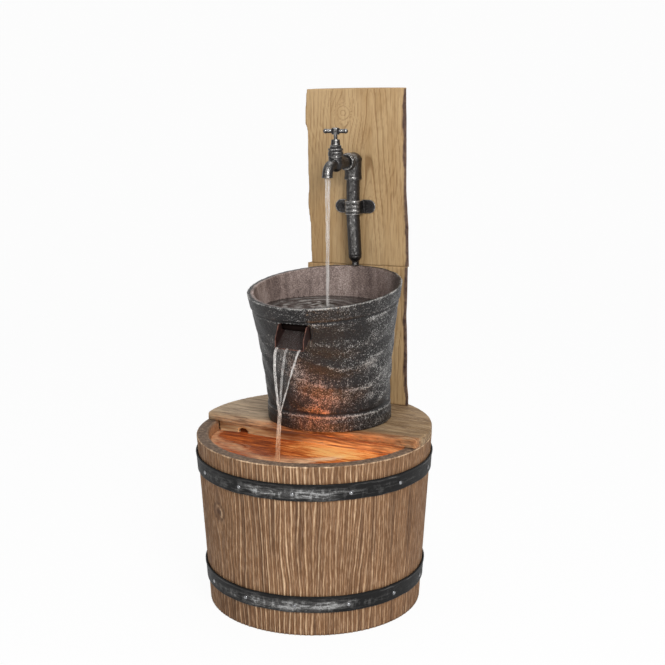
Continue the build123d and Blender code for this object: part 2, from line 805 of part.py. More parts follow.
def post_hollow(left, right, height):
    room = Pos(0, 0, POST_END_THICK) * post_section(left, right, POST_WALL)
    return extrude(room, height - 2 * POST_END_THICK)


def cover_window(middle, rise, width, height, depth, gap=0.0):
    """A pocket in the round back, cut to a depth from the outside."""
    low_z = rise + (COVER_HEIGHT - height) / 2 + gap
    high_z = rise + (COVER_HEIGHT + height) / 2 - gap
    half = width / 2 - gap
    outside = (middle + half, POST_BACK_R + CUT_OVERRUN, high_z)
    window = block((middle - half, POST_FRONT_Y, low_z), outside)
    core = rod(POST_BACK_R - depth, (0, 0, low_z), (0, 0, high_z))
    return window - core


def cover_screw_heights(rise):
    return [rise + COVER_LEDGE / 2, rise + COVER_HEIGHT - COVER_LEDGE / 2]


def cover_screw_seat(middle, height):
    sunk = POST_BACK_R - SCREW_HEAD_THICK
    return (middle, math.sqrt(sunk ** 2 - middle ** 2), height)


def make_post_body(left, right, height, edges, rise):
    """A hollow half-log with closed ends and a rebated opening behind."""
    middle = (left + right) / 2
    body = post_loft(left, right, height, edges) - post_hollow(left, right, height)
    body -= cover_window(middle, rise, COVER_WIDTH, COVER_HEIGHT, COVER_THICK)
    narrow = COVER_WIDTH - 2 * COVER_LEDGE
    short = COVER_HEIGHT - 2 * COVER_LEDGE
    body -= cover_window(middle, rise, narrow, short, POST_WALL + CUT_OVERRUN)
    for z in cover_screw_heights(rise):
        seat = cover_screw_seat(middle, z)
        tip = (seat[0], seat[1] - COVER_SCREW_GRIP, z)
        body -= rod(SCREW_SHANK_R, tip, seat)
    return body


def make_back_cover(left, right, rise):
    """Curved hatch that sits flush in the post's rebate."""
    middle = (left + right) / 2
    plate = cover_window(middle, rise, COVER_WIDTH, COVER_HEIGHT, COVER_THICK, COVER_GAP)
    plate &= rod(POST_BACK_R, (0, 0, rise), (0, 0, rise + COVER_HEIGHT))
    for z in cover_screw_heights(rise):
        seat = cover_screw_seat(middle, z)
        outside = (seat[0], POST_BACK_R + CUT_OVERRUN, z)
        tip = (seat[0], seat[1] - COVER_SCREW_GRIP, z)
        plate -= rod(SCREW_HEAD_R + COVER_GAP / 2, seat, outside)
        plate -= rod(SCREW_SHANK_R, tip, seat)
    return plate


def cover_screws(left, right, rise):
    middle = (left + right) / 2
    screws = []
    for z in cover_screw_heights(rise):
        seat = cover_screw_seat(middle, z)
        screws.append(screw(SCREW_HEAD_R, seat, COVER_SCREW_GRIP, (0, -1, 0)))
    return screws


LOWER_SPAN = (LOWER_POST_LEFT, LOWER_POST_RIGHT)
UPPER_SPAN = (UPPER_POST_X - UPPER_POST_WIDTH / 2, UPPER_POST_X + UPPER_POST_WIDTH / 2)
LOWER_SEAT = Pos(0, 0, DECK_TOP)
UPPER_SEAT = Pos(UPPER_POST_X, 0, SEAM_Z) * Rot(0, UPPER_POST_LEAN, 0) * Pos(-UPPER_POST_X, 0, 0)


def dowel_points():
    return [(UPPER_POST_X - DOWEL_SPREAD, DOWEL_Y), (UPPER_POST_X + DOWEL_SPREAD, DOWEL_Y)]


def dowel_holes(radius):
    """Holes square to the leaning seam, half in each post."""
    holes = []
    for x, y in dowel_points():
        low = (x, y, -DOWEL_LENGTH / 2)
        high = (x, y, DOWEL_LENGTH / 2)
        holes.append(UPPER_SEAT * rod(radius, low, high))
    return holes


def above_seam():
    """Everything above the leaning seam between the two posts."""
    size = 2 * POST_BACK_R
    slab = block((-size, 0, 0), (size, size, size))
    return UPPER_SEAT * slab


def seam_hole():
    """The hose's way through both end plates at the seam."""
    low = (PIPE_X, HOSE_Y, SEAM_Z - 2 * POST_END_THICK)
    high = (PIPE_X, HOSE_Y, SEAM_Z + 2 * POST_END_THICK)
    return rod(HOSE_HOLE_R, low, high)


def foot_hole(radius, x, y):
    """A hole up through the lower post's end plate from the deck."""
    return rod(radius, (x, y, DECK_TOP), (x, y, DECK_TOP + POST_END_THICK))


def make_post_lower():
    tall = LOWER_POST_HEIGHT + POST_END_THICK
    body = LOWER_SEAT * make_post_body(*LOWER_SPAN, tall, LOWER_EDGES, LOWER_COVER_RISE)
    body -= foot_hole(HOSE_HOLE_R, PIPE_X, HOSE_HOLE_Y)
    body -= seam_hole()
    for x in post_screw_xs():
        body -= foot_hole(SCREW_SHANK_R, x, POST_SCREW_Y)
    body -= above_seam()
    for hole in dowel_holes(DOWEL_R):
        body -= hole
    return body


def make_post_upper():
    body = UPPER_SEAT * make_post_body(*UPPER_SPAN, UPPER_POST_HEIGHT, UPPER_EDGES, UPPER_COVER_RISE)
    body -= seam_hole()
    inlet_front = (PIPE_X, POST_FRONT_Y - CUT_OVERRUN, TAP_AXIS_Z)
    inlet_back = (PIPE_X, POST_FRONT_Y + POST_WALL + CUT_OVERRUN, TAP_AXIS_Z)
    body -= rod(ELBOW_BORE_R, inlet_front, inlet_back)
    for seat in clip_screw_seats():
        body -= rod(SCREW_SHANK_R, seat, (seat[0], seat[1] + CLIP_SCREW_GRIP, seat[2]))
    for hole in dowel_holes(DOWEL_R):
        body -= hole
    return body


def make_post_dowels():
    return Compound(dowel_holes(DOWEL_R - DOWEL_FIT))


def make_cover_screws():
    lower = [LOWER_SEAT * s for s in cover_screws(*LOWER_SPAN, LOWER_COVER_RISE)]
    upper = [UPPER_SEAT * s for s in cover_screws(*UPPER_SPAN, UPPER_COVER_RISE)]
    return Compound(lower + upper)


def make_deck_screws():
    """Screws up through the deck into the bucket's and the post's feet."""
    grip = DECK_THICK + SCREW_GRIP
    screws = []
    for x, y in deck_screw_points():
        screws.append(screw(SCREW_HEAD_R, (x, y, TUB_HEIGHT), grip, (0, 0, 1)))
    return Compound(screws)


# ------------------------------------------------------------ pipe and elbow
def pipe_points():
    top = TAP_AXIS_Z - ELBOW_DROP + PIPE_SOCKET
    return (
        (PIPE_X, PIPE_Y, top),
        (PIPE_X, PIPE_Y, PIPE_BEND_Z),
        (PIPE_END_X, PIPE_Y, PIPE_END_Z),
    )


def make_riser_pipe():
    """Iron pipe that kicks slightly sideways below its clip."""
    path = FilletPolyline(*pipe_points(), radius=PIPE_BEND_R)
    start = Plane(origin=path @ 0, z_dir=path % 0)
    ring = Circle(PIPE_R) - Circle(PIPE_R - PIPE_WALL)
    return sweep(start * ring, path=path)


def make_pipe_foot():
    """Round-nosed plug in the pipe's end, whose neck stands over the rim."""
    points = pipe_points()
    end = Vector(*points[2])
    away = (end - Vector(*points[1])).normalized()
    spigot_r = PIPE_R - PIPE_WALL
    plug = rod(spigot_r, (0, 0, -FOOT_SPIGOT), (0, 0, 0)) + dome(PIPE_R, FOOT_TAPER)
    plug += rod(FOOT_NECK_R, (0, 0, 0), (0, 0, FOOT_TAPER + FOOT_NECK))
    return Plane(origin=tuple(end), z_dir=tuple(away)) * plug


def make_pipe_elbow():
    """Cast elbow: sockets down and forward, a boss back to the post."""
    corner = (PIPE_X, PIPE_Y, TAP_AXIS_Z)
    foot = (PIPE_X, PIPE_Y, TAP_AXIS_Z - ELBOW_DROP)
    front = (PIPE_X, NUT_BACK_Y, TAP_AXIS_Z)
    back = (PIPE_X, POST_FRONT_Y, TAP_AXIS_Z)
    collar = (PIPE_X, PIPE_Y, TAP_AXIS_Z - ELBOW_DROP + ELBOW_COLLAR)
    socket = (PIPE_X, PIPE_Y, TAP_AXIS_Z - ELBOW_DROP + PIPE_SOCKET)
    elbow = rod(ELBOW_R, foot, corner) + rod(ELBOW_R, corner, front)
    elbow += Pos(*corner) * Sphere(ELBOW_R)
    elbow += rod(ELBOW_COLLAR_R, foot, collar)
    elbow += rod(INLET_BOSS_R, corner, back)
    elbow -= rod(PIPE_R, foot, socket)
    elbow -= rod(ELBOW_BORE_R, front, back)
    return elbow - rod(PIPE_R - PIPE_WALL, foot, corner)


def clip_seat():
    return Pos(CLIP_X, 0, CLIP_Z) * Rot(0, UPPER_POST_LEAN, 0) * Pos(-CLIP_X, 0, -CLIP_Z)


def clip_screw_seats():
    seats = []
    for side in (-1, 1):
        hole = clip_seat() * Pos(CLIP_X + side * CLIP_HOLE_X, POST_FRONT_Y - CLIP_SHEET, CLIP_Z)
        seats.append(tuple(hole.position))
    return seats


def make_pipe_clip():
    """Saddle strap over the pipe, with rounded lugs on the post."""
    half = PIPE_R + CLIP_SHEET
    leg = POST_FRONT_Y - PIPE_Y
    top_view = Pos(PIPE_X, PIPE_Y) * Circle(half)
    top_view += Pos(PIPE_X, PIPE_Y) * Rectangle(2 * half, leg, align=(Align.CENTER, Align.MIN))
    lug_line = Pos(CLIP_X, POST_FRONT_Y)
    top_view += lug_line * Rectangle(CLIP_WIDTH, CLIP_SHEET, align=(Align.CENTER, Align.MAX))
    top_view -= Pos(PIPE_X, PIPE_Y) * Circle(PIPE_R)
    top_view -= Pos(PIPE_X, PIPE_Y) * Rectangle(2 * PIPE_R, leg, align=(Align.CENTER, Align.MIN))
    strap = Pos(0, 0, CLIP_Z - CLIP_HEIGHT / 2) * extrude(top_view, CLIP_HEIGHT)
    front_view = Plane.XZ * Pos(CLIP_X, CLIP_Z) * SlotOverall(CLIP_WIDTH, CLIP_HEIGHT)
    strap &= Pos(0, PIPE_Y - 2 * half, 0) * extrude(front_view, -4 * half)
    strap = clip_seat() * strap
    strap -= rod(PIPE_R, *[(PIPE_X, PIPE_Y, CLIP_Z + s * CLIP_HEIGHT) for s in (-1, 1)])
    for seat in clip_screw_seats():
        strap -= rod(SCREW_SHANK_R, seat, (seat[0], POST_FRONT_Y + CUT_OVERRUN, seat[2]))
    return strap


def make_clip_screws():
    screws = []
    for seat in clip_screw_seats():
        screws.append(screw(SCREW_HEAD_R, seat, CLIP_SCREW_GRIP, (0, 1, 0)))
    return Compound(screws)


# ----------------------------------------------------------------------- tap
def tap_point(y, z):
    return (PIPE_X, y, z)


def make_union_nut():
    """Ringed nut that draws the tap's tail into the elbow."""
    back = tap_point(NUT_BACK_Y, TAP_AXIS_Z)
    front = tap_point(NUT_FRONT_Y, TAP_AXIS_Z)
    nut = rod(NUT_R, back, front)
    ring_gap = (NUT_LENGTH - 2 * NUT_RING) / 3
    for k in range(2):
        start = NUT_BACK_Y - ring_gap - k * (NUT_RING + ring_gap)
        end = tap_point(start - NUT_RING, TAP_AXIS_Z)
        nut += rod(NUT_RING_R, tap_point(start, TAP_AXIS_Z), end)
    return nut - rod(TAIL_R, back, front)


def spout_path():
    start = tap_point(SPINDLE_Y, TAP_AXIS_Z)
    corner = tap_point(NOZZLE_Y, TAP_AXIS_Z)
    end = tap_point(NOZZLE_Y, TAP_AXIS_Z - SPOUT_DROP)
    return FilletPolyline(start, corner, end, radius=SPOUT_BEND_R)


def spout_sweep(radius):
    path = spout_path()
    start = Plane(origin=path @ 0, z_dir=path % 0)
    return sweep(start * Circle(radius), path=path)


def spindle_point(z):
    return tap_point(SPINDLE_Y, z)


def make_tap_casting():
    """Outside of the bib tap: tail, globe, barrel and ringed spout."""
    axis = spindle_point(TAP_AXIS_Z)
    nut_back = tap_point(NUT_BACK_Y, TAP_AXIS_Z)
    nozzle_low = TAP_AXIS_Z - SPOUT_DROP
    ring = tap_point(NOZZLE_Y, nozzle_low), tap_point(NOZZLE_Y, nozzle_low + NOZZLE_RING)
    body = rod(TAIL_R, axis, nut_back)
    body += rod(ELBOW_BORE_R, nut_back, tap_point(NUT_BACK_Y + TAIL_SPIGOT, TAP_AXIS_Z))
    body += Pos(*axis) * Sphere(TAP_GLOBE_R)
    body += rod(TAP_BARREL_R, axis, spindle_point(BARREL_TOP_Z))
    return body + spout_sweep(SPOUT_R) + rod(NOZZLE_RING_R, *ring)


def make_tap_body():
    """Bib tap casting with its passages, its two chambers and the seat."""
    chamber_top = SEAT_Z - SEAT_THICK
    chamber_low = chamber_top - LOWER_CHAMBER
    body = make_tap_casting()
    body -= rod(LOWER_CHAMBER_R, spindle_point(chamber_low), spindle_point(chamber_top))
    body -= rod(SEAT_PORT_R, spindle_point(chamber_low), spindle_point(SEAT_Z))
    body -= rod(UPPER_CHAMBER_R, spindle_point(SEAT_Z), spindle_point(BARREL_TOP_Z))
    inlet_end = SPINDLE_Y + TAP_GLOBE_R + PASSAGE_START
    tail_end = tap_point(NUT_BACK_Y + TAIL_SPIGOT, TAP_AXIS_Z)
    body -= rod(TAIL_BORE_R, tail_end, tap_point(inlet_end, TAP_AXIS_Z))
    fall = tap_point(inlet_end, TAP_AXIS_Z - PASSAGE_DROP)
    body -= rod(PASSAGE_R, fall, spindle_point(chamber_low + PASSAGE_R / 2))
    spout_y = SPINDLE_Y - TAP_GLOBE_R - OUTLET_END
    keep = block(
        (PIPE_X - SPOUT_R, NOZZLE_Y - SPOUT_R, TAP_AXIS_Z - SPOUT_DROP - CUT_OVERRUN),
        (PIPE_X + SPOUT_R, spout_y, TAP_AXIS_Z + SPOUT_R),
    )
    body -= spout_sweep(SPOUT_BORE_R) & keep
    outlet = tap_point(SPINDLE_Y - OUTLET_START, SEAT_Z + OUTLET_RISE)
    return body - rod(OUTLET_R, outlet, tap_point(spout_y, TAP_AXIS_Z))


def make_tap_bonnet():
    """Screwed head of the tap, with a ring groove and a hexagon."""
    low = BARREL_TOP_Z
    groove_high = FLANGE_Z - BONNET_RING
    groove_low = groove_high - 2 * BONNET_GROOVE
    r_in = BONNET_R - BONNET_GROOVE
    head = turned([
        (0, low),
        (BONNET_R, low),
        (BONNET_R, groove_low),
        (r_in, groove_low),
        (r_in, groove_high),
        (BONNET_R, groove_high),
        (BONNET_R, FLANGE_Z),
        (0, FLANGE_Z),
    ])
    head = Pos(PIPE_X, SPINDLE_Y, 0) * head
    hexagon = Pos(PIPE_X, SPINDLE_Y, FLANGE_Z) * RegularPolygon(FLANGE_R, 6)
    head += extrude(hexagon, FLANGE_HEIGHT)
    spigot_low = low - BONNET_SPIGOT
    head += rod(UPPER_CHAMBER_R, spindle_point(spigot_low), spindle_point(low))
    thread_top = spigot_low + THREAD_LENGTH + VALVE_LIFT
    thread_r = THREAD_R + SPINDLE_CLEARANCE
    stem_r = SPINDLE_R + SPINDLE_CLEARANCE
    head -= rod(thread_r, spindle_point(spigot_low), spindle_point(thread_top))
    head -= rod(stem_r, spindle_point(thread_top), spindle_point(GLAND_Z))
    return head - rod(PACKING_R, spindle_point(PACKING_Z), spindle_point(GLAND_Z))


def make_gland_packing():
    start = spindle_point(PACKING_Z)
    end = spindle_point(PACKING_Z + PACKING_HEIGHT)
    return tube(PACKING_R, SPINDLE_R + SPINDLE_CLEARANCE, start, end)


def make_gland_nut():
    """Tapered nut that squeezes the packing round the spindle."""
    low = spindle_point(GLAND_Z - PACKING_SINK)
    seat = spindle_point(GLAND_Z)
    cone = Pos(*seat) * Cone(GLAND_R, GLAND_TOP_R, GLAND_HEIGHT, align=ON_FLOOR)
    bore = rod(SPINDLE_R + SPINDLE_CLEARANCE, low, spindle_point(GLAND_Z + GLAND_HEIGHT))
    return cone + rod(PACKING_R, low, seat) - bore


def valve_levels():
    washer_low = SEAT_Z + VALVE_LIFT
    plate_low = washer_low + WASHER_THICK
    plate_top = plate_low + JUMPER_PLATE
    return washer_low, plate_low, plate_top


def make_tap_washer():
    washer_low, plate_low, plate_top = valve_levels()
    return rod(WASHER_R, spindle_point(washer_low), spindle_point(plate_low))


def make_jumper_valve():
    """Plate that presses the washer on the seat; its pin rides the spindle."""
    washer_low, plate_low, plate_top = valve_levels()
    plate = rod(JUMPER_R, spindle_point(plate_low), spindle_point(plate_top))
    return plate + rod(JUMPER_PIN_R, spindle_point(plate_top), spindle_point(plate_top + JUMPER_PIN))


def spindle_top():
    return HANDLE_Z + HUB_HEIGHT / 2 - HANDLE_SCREW_HEAD - HANDLE_SCREW_SINK


def make_spindle():
    low = valve_levels()[2] + JUMPER_GAP
    thread_top = low + THREAD_LENGTH
    stem = rod(THREAD_R, spindle_point(low), spindle_point(thread_top))
    stem += rod(SPINDLE_R, spindle_point(thread_top), spindle_point(spindle_top()))
    socket_r = JUMPER_PIN_R + SPINDLE_CLEARANCE
    socket_top = low + JUMPER_PIN + JUMPER_ROOM
    stem -= rod(socket_r, spindle_point(low), spindle_point(socket_top))
    screw_low = spindle_top() - HANDLE_SCREW_LENGTH
    return stem - rod(HANDLE_SCREW_SHANK_R, spindle_point(screw_low), spindle_point(spindle_top()))


def make_t_handle():
    """Tee bar with swollen ends on a round hub."""
    half = HANDLE_LENGTH / 2
    seat = Pos(PIPE_X, SPINDLE_Y, HANDLE_Z) * Rot(0, 0, HANDLE_TURN)
    bar = rod(HANDLE_BAR_R, (-half + HANDLE_END_R, 0, 0), (half - HANDLE_END_R, 0, 0))
    for side in (-1, 1):
        bar += Pos(side * (half - HANDLE_END_R), 0, 0) * Rot(0, 90, 0) * Sphere(HANDLE_END_R)
    hub = rod(HUB_R, (0, 0, -HUB_HEIGHT / 2), (0, 0, HUB_HEIGHT / 2))
    handle = seat * (bar + hub)
    through = spindle_point(HANDLE_Z - HUB_HEIGHT / 2), spindle_point(HANDLE_Z + HUB_HEIGHT / 2)
    return handle - rod(SPINDLE_R, *through)


def make_handle_screw():
    seat = spindle_top()
    head = rod(HANDLE_SCREW_R, spindle_point(seat), spindle_point(seat + HANDLE_SCREW_HEAD))
    low = spindle_point(seat - HANDLE_SCREW_LENGTH)
    return head + rod(HANDLE_SCREW_SHANK_R, low, spindle_point(seat))


# ------------------------------------------------------------- hose and tail
def make_hose_tail():
    """Barbed elbow inside the post, pushed through it into the pipe elbow."""
    inside_y = POST_FRONT_Y + POST_WALL
    tip = tap_point(PIPE_Y + TAIL_TIP, TAP_AXIS_Z)
    corner = tap_point(HOSE_Y, TAP_AXIS_Z)
    flange_back = tap_point(inside_y + TAIL_FLANGE, TAP_AXIS_Z)
    barb_end = tap_point(HOSE_Y, TAP_AXIS_Z - BARB_DROP)
    tail = rod(ELBOW_BORE_R, tip, corner)
    tail += rod(TAIL_FLANGE_R, tap_point(inside_y, TAP_AXIS_Z), flange_back)
    tail += Pos(*corner) * Sphere(ELBOW_BORE_R)
    tail += rod(HOSE_BORE_R, corner, barb_end)
    tail -= rod(BARB_BORE_R, tip, corner)
    return tail - rod(BARB_BORE_R, corner, barb_end)


def hose_points():
    outlet_low = PUMP_TOP_Z + OUTLET_FLANGE
    return (
        (PIPE_X, HOSE_Y, TAP_AXIS_Z - HOSE_TOP_DROP),
        (PIPE_X, HOSE_Y, HOSE_UPPER_BEND_Z),
        (PIPE_X, PUMP_Y, HOSE_LOWER_BEND_Z),
        (PIPE_X, PUMP_Y, outlet_low + BARB_RING),
    )


def make_riser_hose():
    """Soft hose from the pump's barb, through the deck, to the hose tail."""
    path = FilletPolyline(*hose_points(), radius=HOSE_BEND_R)
    start = Plane(origin=path @ 0, z_dir=path % 0)
    ring = Circle(HOSE_R) - Circle(HOSE_BORE_R)
    hose = sweep(start * ring, path=path)
    section = math.pi * (HOSE_R ** 2 - HOSE_BORE_R ** 2)
    print("riser_hose bend radii", HOSE_BEND_R, HOSE_BEND_R)
    print("riser_hose volume over section times length", hose.volume / (section * path.length))
    return hose


def make_hose_clamp():
    high = TAP_AXIS_Z - HOSE_TOP_DROP - CLAMP_OFFSET
    start = tap_point(HOSE_Y, high - CLAMP_HEIGHT)
    return tube(HOSE_R + CLAMP_THICK, HOSE_R, start, tap_point(HOSE_Y, high))


# ---------------------------------------------------------------------- pump
def pump_point(x):
    return (x, PUMP_Y, PUMP_Z)


def make_pump_body():
    """Sealed motor block with the impeller's chamber and well."""
    half = PUMP_SIZE / 2
    case = block(
        (PUMP_FACE_X, PUMP_Y - half, PUMP_Z - half),
        (PUMP_BACK_X, PUMP_Y + half, PUMP_Z + half),
    )
    case = fillet(case.edges().filter_by(Axis.X), PUMP_ROUND)
    chamber_x = PUMP_FACE_X + CHAMBER_DEPTH
    case -= rod(CHAMBER_R, pump_point(PUMP_FACE_X), pump_point(chamber_x))
    case -= rod(WELL_R, pump_point(chamber_x), pump_point(WELL_END_X))
    case -= rod(BUSH_R, pump_point(WELL_END_X), pump_point(WELL_END_X + BUSH_LENGTH))
    case -= rod(BARB_BORE_R, (PIPE_X, PUMP_Y, PUMP_Z), (PIPE_X, PUMP_Y, PUMP_TOP_Z))
    for x, y in suction_foot_points():
        case -= rod(SCREW_SHANK_R, (x, y, PUMP_Z - half), (x, y, PUMP_Z - half + SUCTION_STUD_HOLE))
    return case


def suction_foot_points():
    middle = (PUMP_FACE_X + PUMP_BACK_X) / 2
    spread = SUCTION_FOOT_SPREAD
    return [(middle + a * spread, PUMP_Y + b * spread) for a in (-1, 1) for b in (-1, 1)]


def make_suction_feet():
    """Four rubber cups whose studs push into the motor block."""
    cup_top = SUCTION_FOOT_HEIGHT
    stud_top = cup_top + SUCTION_STUD
    cup = turned([
        (0, SUCTION_CUP),
        (SUCTION_FOOT_R - SUCTION_LIP, 0),
        (SUCTION_FOOT_R, 0),
        (SUCTION_STEM_R, cup_top - SUCTION_LIP),
        (SUCTION_STEM_R, cup_top),
        (SCREW_SHANK_R, cup_top),
        (SCREW_SHANK_R, stud_top),
        (0, stud_top),
    ])
    return Compound([Pos(x, y, TUB_FLOOR_Z) * cup for x, y in suction_foot_points()])


def make_volute_cover():
    """Disc that closes the impeller chamber, with its ring of inlets."""
    front = PUMP_FACE_X - VOLUTE_COVER_THICK
    plate = rod(VOLUTE_COVER_R, pump_point(front), pump_point(PUMP_FACE_X))
    plate -= rod(BUSH_R, pump_point(front), pump_point(PUMP_FACE_X))
    for k in range(INLET_COUNT):
        turn = 2 * math.pi * k / INLET_COUNT
        y = PUMP_Y + INLET_RING_R * math.cos(turn)
        z = PUMP_Z + INLET_RING_R * math.sin(turn)
        plate -= rod(INLET_HOLE_R, (front, y, z), (PUMP_FACE_X, y, z))
    return plate


def make_shaft_bushes():
    front = PUMP_FACE_X - VOLUTE_COVER_THICK
    first = tube(BUSH_R, SHAFT_R, pump_point(front), pump_point(PUMP_FACE_X))
    second = tube(BUSH_R, SHAFT_R, pump_point(WELL_END_X), pump_point(WELL_END_X + BUSH_LENGTH))
    return Compound([first, second])


def make_impeller_shaft():
    front = PUMP_FACE_X - VOLUTE_COVER_THICK
    return rod(SHAFT_R, pump_point(front), pump_point(WELL_END_X + BUSH_LENGTH))


def make_pump_impeller():
    """Magnet rotor and swept vanes in one moulding, on the ceramic shaft."""
    disc_x = PUMP_FACE_X + CHAMBER_DEPTH - MAGNET_START - VANE_DISC
    vane_x = disc_x - VANE_HEIGHT
    end_x = WELL_END_X - MAGNET_END
    rotor = rod(MAGNET_R, pump_point(disc_x), pump_point(end_x))
    rotor += rod(VANE_R, pump_point(disc_x), pump_point(disc_x + VANE_DISC))
    rotor += rod(HUB_CORE_R, pump_point(vane_x), pump_point(disc_x))
    for k in range(VANE_COUNT):
        vane = block(
            (vane_x, HUB_CORE_R - VANE_SINK, -VANE_THICK / 2),
            (disc_x, VANE_R - VANE_SINK, VANE_THICK / 2),
        )
        vane = Pos(0, HUB_CORE_R, 0) * Rot(VANE_LEAN, 0, 0) * Pos(0, -HUB_CORE_R, 0) * vane
        rotor += Pos(0, PUMP_Y, PUMP_Z) * Rot(FULL_TURN * k / VANE_COUNT, 0, 0) * vane
    return rotor - rod(SHAFT_R + SHAFT_RUN, pump_point(vane_x), pump_point(end_x))


def make_pump_outlet():
    """Upright barb on top of the pump that the hose pushes on to."""
    low = (PIPE_X, PUMP_Y, PUMP_TOP_Z)
    flange_top = (PIPE_X, PUMP_Y, PUMP_TOP_Z + OUTLET_FLANGE)
    top = (PIPE_X, PUMP_Y, PUMP_TOP_Z + OUTLET_FLANGE + OUTLET_BARB)
    barb_r = HOSE_BORE_R - SLIDE_CLEARANCE
    outlet = rod(OUTLET_FLANGE_R, low, flange_top) + rod(barb_r, flange_top, top)
    return outlet - rod(BARB_BORE_R, low, top)


def strainer_block(start_x, end_x, half):
    """A square block along the pump's axis, of that half width."""
    return block((start_x, PUMP_Y - half, PUMP_Z - half), (end_x, PUMP_Y + half, PUMP_Z + half))


def make_pump_strainer():
    """Slotted snap-on box over the pump's inlet end."""
    room = PUMP_SIZE / 2 + STRAINER_FIT
    out = room + STRAINER_WALL
    open_x = PUMP_FACE_X + STRAINER_OVERLAP
    inside_x = STRAINER_X + STRAINER_WALL
    shell = strainer_block(STRAINER_X, open_x, out)
    shell = fillet(shell.edges().filter_by(Axis.X), PUMP_ROUND + STRAINER_WALL)
    inside = strainer_block(inside_x, open_x + CUT_OVERRUN, room)
    shell -= fillet(inside.edges().filter_by(Axis.X), PUMP_ROUND)
    niche = OUTLET_FLANGE_R + OUTLET_MARGIN
    shell -= block(
        (PIPE_X - niche, PUMP_Y - niche, PUMP_Z),
        (open_x + CUT_OVERRUN, PUMP_Y + niche, PUMP_Z + out),
    )
    for k in range(SLOT_COUNT):
        x = inside_x + SLOT_START + k * SLOT_PITCH
        shell -= block(
            (x, PUMP_Y - out, PUMP_Z - SLOT_HEIGHT / 2),
            (x + SLOT_WIDTH, PUMP_Y + out, PUMP_Z + SLOT_HEIGHT / 2),
        )
    return shell - rod(DIAL_STEM_R + SHAFT_RUN, pump_point(STRAINER_X), pump_point(inside_x))


def make_flow_dial():
    """Knob on the strainer's front that throttles the inlet."""
    back_x = STRAINER_X - DIAL_GAP
    front_x = back_x - DIAL_THICK
    knob = rod(DIAL_R, pump_point(front_x), pump_point(back_x))
    stem_end = STRAINER_X + STRAINER_WALL + DIAL_STEM_TAIL
    knob += rod(DIAL_STEM_R, pump_point(front_x), pump_point(stem_end))
    return knob + block(
        (front_x - DIAL_GRIP, PUMP_Y - DIAL_GRIP_WIDTH / 2, PUMP_Z - DIAL_GRIP / 2),
        (front_x, PUMP_Y + DIAL_GRIP_WIDTH / 2, PUMP_Z + DIAL_GRIP / 2),
    )


def make_pump_gland():
    """Gland where the mains cable enters the motor block."""
    start = pump_point(PUMP_BACK_X)
    return tube(PUMP_GLAND_R, PUMP_CABLE_R, start, pump_point(PUMP_BACK_X + PUMP_GLAND))


# ----------------------------------------------------------------------- LED
def led_point(z):
    return (LED_X, LED_Y, z)


def make_led_body():
    top = TUB_FLOOR_Z + LED_HEIGHT
    body = rod(LED_R, led_point(TUB_FLOOR_Z), led_point(top))
    body -= rod(LED_LENS_R, led_point(top - LED_LENS_SEAT), led_point(top))
    gland_z = TUB_FLOOR_Z + LED_GLAND_RISE
    start = (LED_X, LED_Y, gland_z)
    return body + rod(LED_GLAND_R, start, (LED_X, LED_Y + LED_R + LED_GLAND, gland_z))


def make_led_lens():
    """Amber lens: a seat disc under a shallow dome."""
    top = TUB_FLOOR_Z + LED_HEIGHT
    seat = rod(LED_LENS_R, led_point(top - LED_LENS_SEAT), led_point(top))
    return seat + Pos(*led_point(top)) * dome(LED_LENS_R - LED_BEZEL, LED_LENS_DOME)


def make_led_bezel():
    top = TUB_FLOOR_Z + LED_HEIGHT
    inner = LED_LENS_R - LED_BEZEL + LED_BEZEL_FIT
    return tube(LED_R, inner, led_point(top), led_point(top + LED_BEZEL))


# -------------------------------------------------------------------- export
def make_all():
    return {
        "barrel_tub": make_barrel_tub(),
        "upper_hoop": make_hoop(UPPER_HOOP_Z),
        "lower_hoop": make_hoop(LOWER_HOOP_Z),
        "hoop_rivets": make_hoop_rivets(),
        "cable_grommet": make_cable_grommet(),
        "drain_plug": make_drain_plug(),
        "drain_seal": make_drain_seal(),
        "deck_board": make_deck_board(),
        "deck_apron": make_deck_apron(),
        "bucket": make_bucket(),
        "spout_chute": make_spout_chute(),
        "post_lower": make_post_lower(),
        "post_upper": make_post_upper(),
        "post_dowels": make_post_dowels(),
        "lower_back_cover": LOWER_SEAT * make_back_cover(*LOWER_SPAN, LOWER_COVER_RISE),
        "upper_back_cover": UPPER_SEAT * make_back_cover(*UPPER_SPAN, UPPER_COVER_RISE),
        "cover_screws": make_cover_screws(),
        "deck_screws": make_deck_screws(),
        "riser_pipe": make_riser_pipe(),
        "pipe_foot": make_pipe_foot(),
        "pipe_elbow": make_pipe_elbow(),
        "pipe_clip": make_pipe_clip(),
        "clip_screws": make_clip_screws(),
        "union_nut": make_union_nut(),
        "tap_body": make_tap_body(),
        "tap_bonnet": make_tap_bonnet(),
        "gland_packing": make_gland_packing(),
        "gland_nut": make_gland_nut(),
        "tap_washer": make_tap_washer(),
        "jumper_valve": make_jumper_valve(),
        "spindle": make_spindle(),
        "t_handle": make_t_handle(),
        "handle_screw": make_handle_screw(),
        "hose_tail": make_hose_tail(),
        "riser_hose": make_riser_hose(),
        "hose_clamp": make_hose_clamp(),
        "pump_body": make_pump_body(),
        "suction_feet": make_suction_feet(),
        "volute_cover": make_volute_cover(),
        "shaft_bushes": make_shaft_bushes(),
        "impeller_shaft": make_impeller_shaft(),
        "pump_impeller": make_pump_impeller(),
        "pump_outlet": make_pump_outlet(),
        "pump_strainer": make_pump_strainer(),
        "flow_dial": make_flow_dial(),
        "pump_gland": make_pump_gland(),
        "led_body": make_led_body(),
        "led_lens": make_led_lens(),
        "led_bezel": make_led_bezel(),
    }


os.makedirs("parts", exist_ok=True)
for node, shape in make_all().items():
    export_step(shape, f"parts/{node}.step")
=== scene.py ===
import math

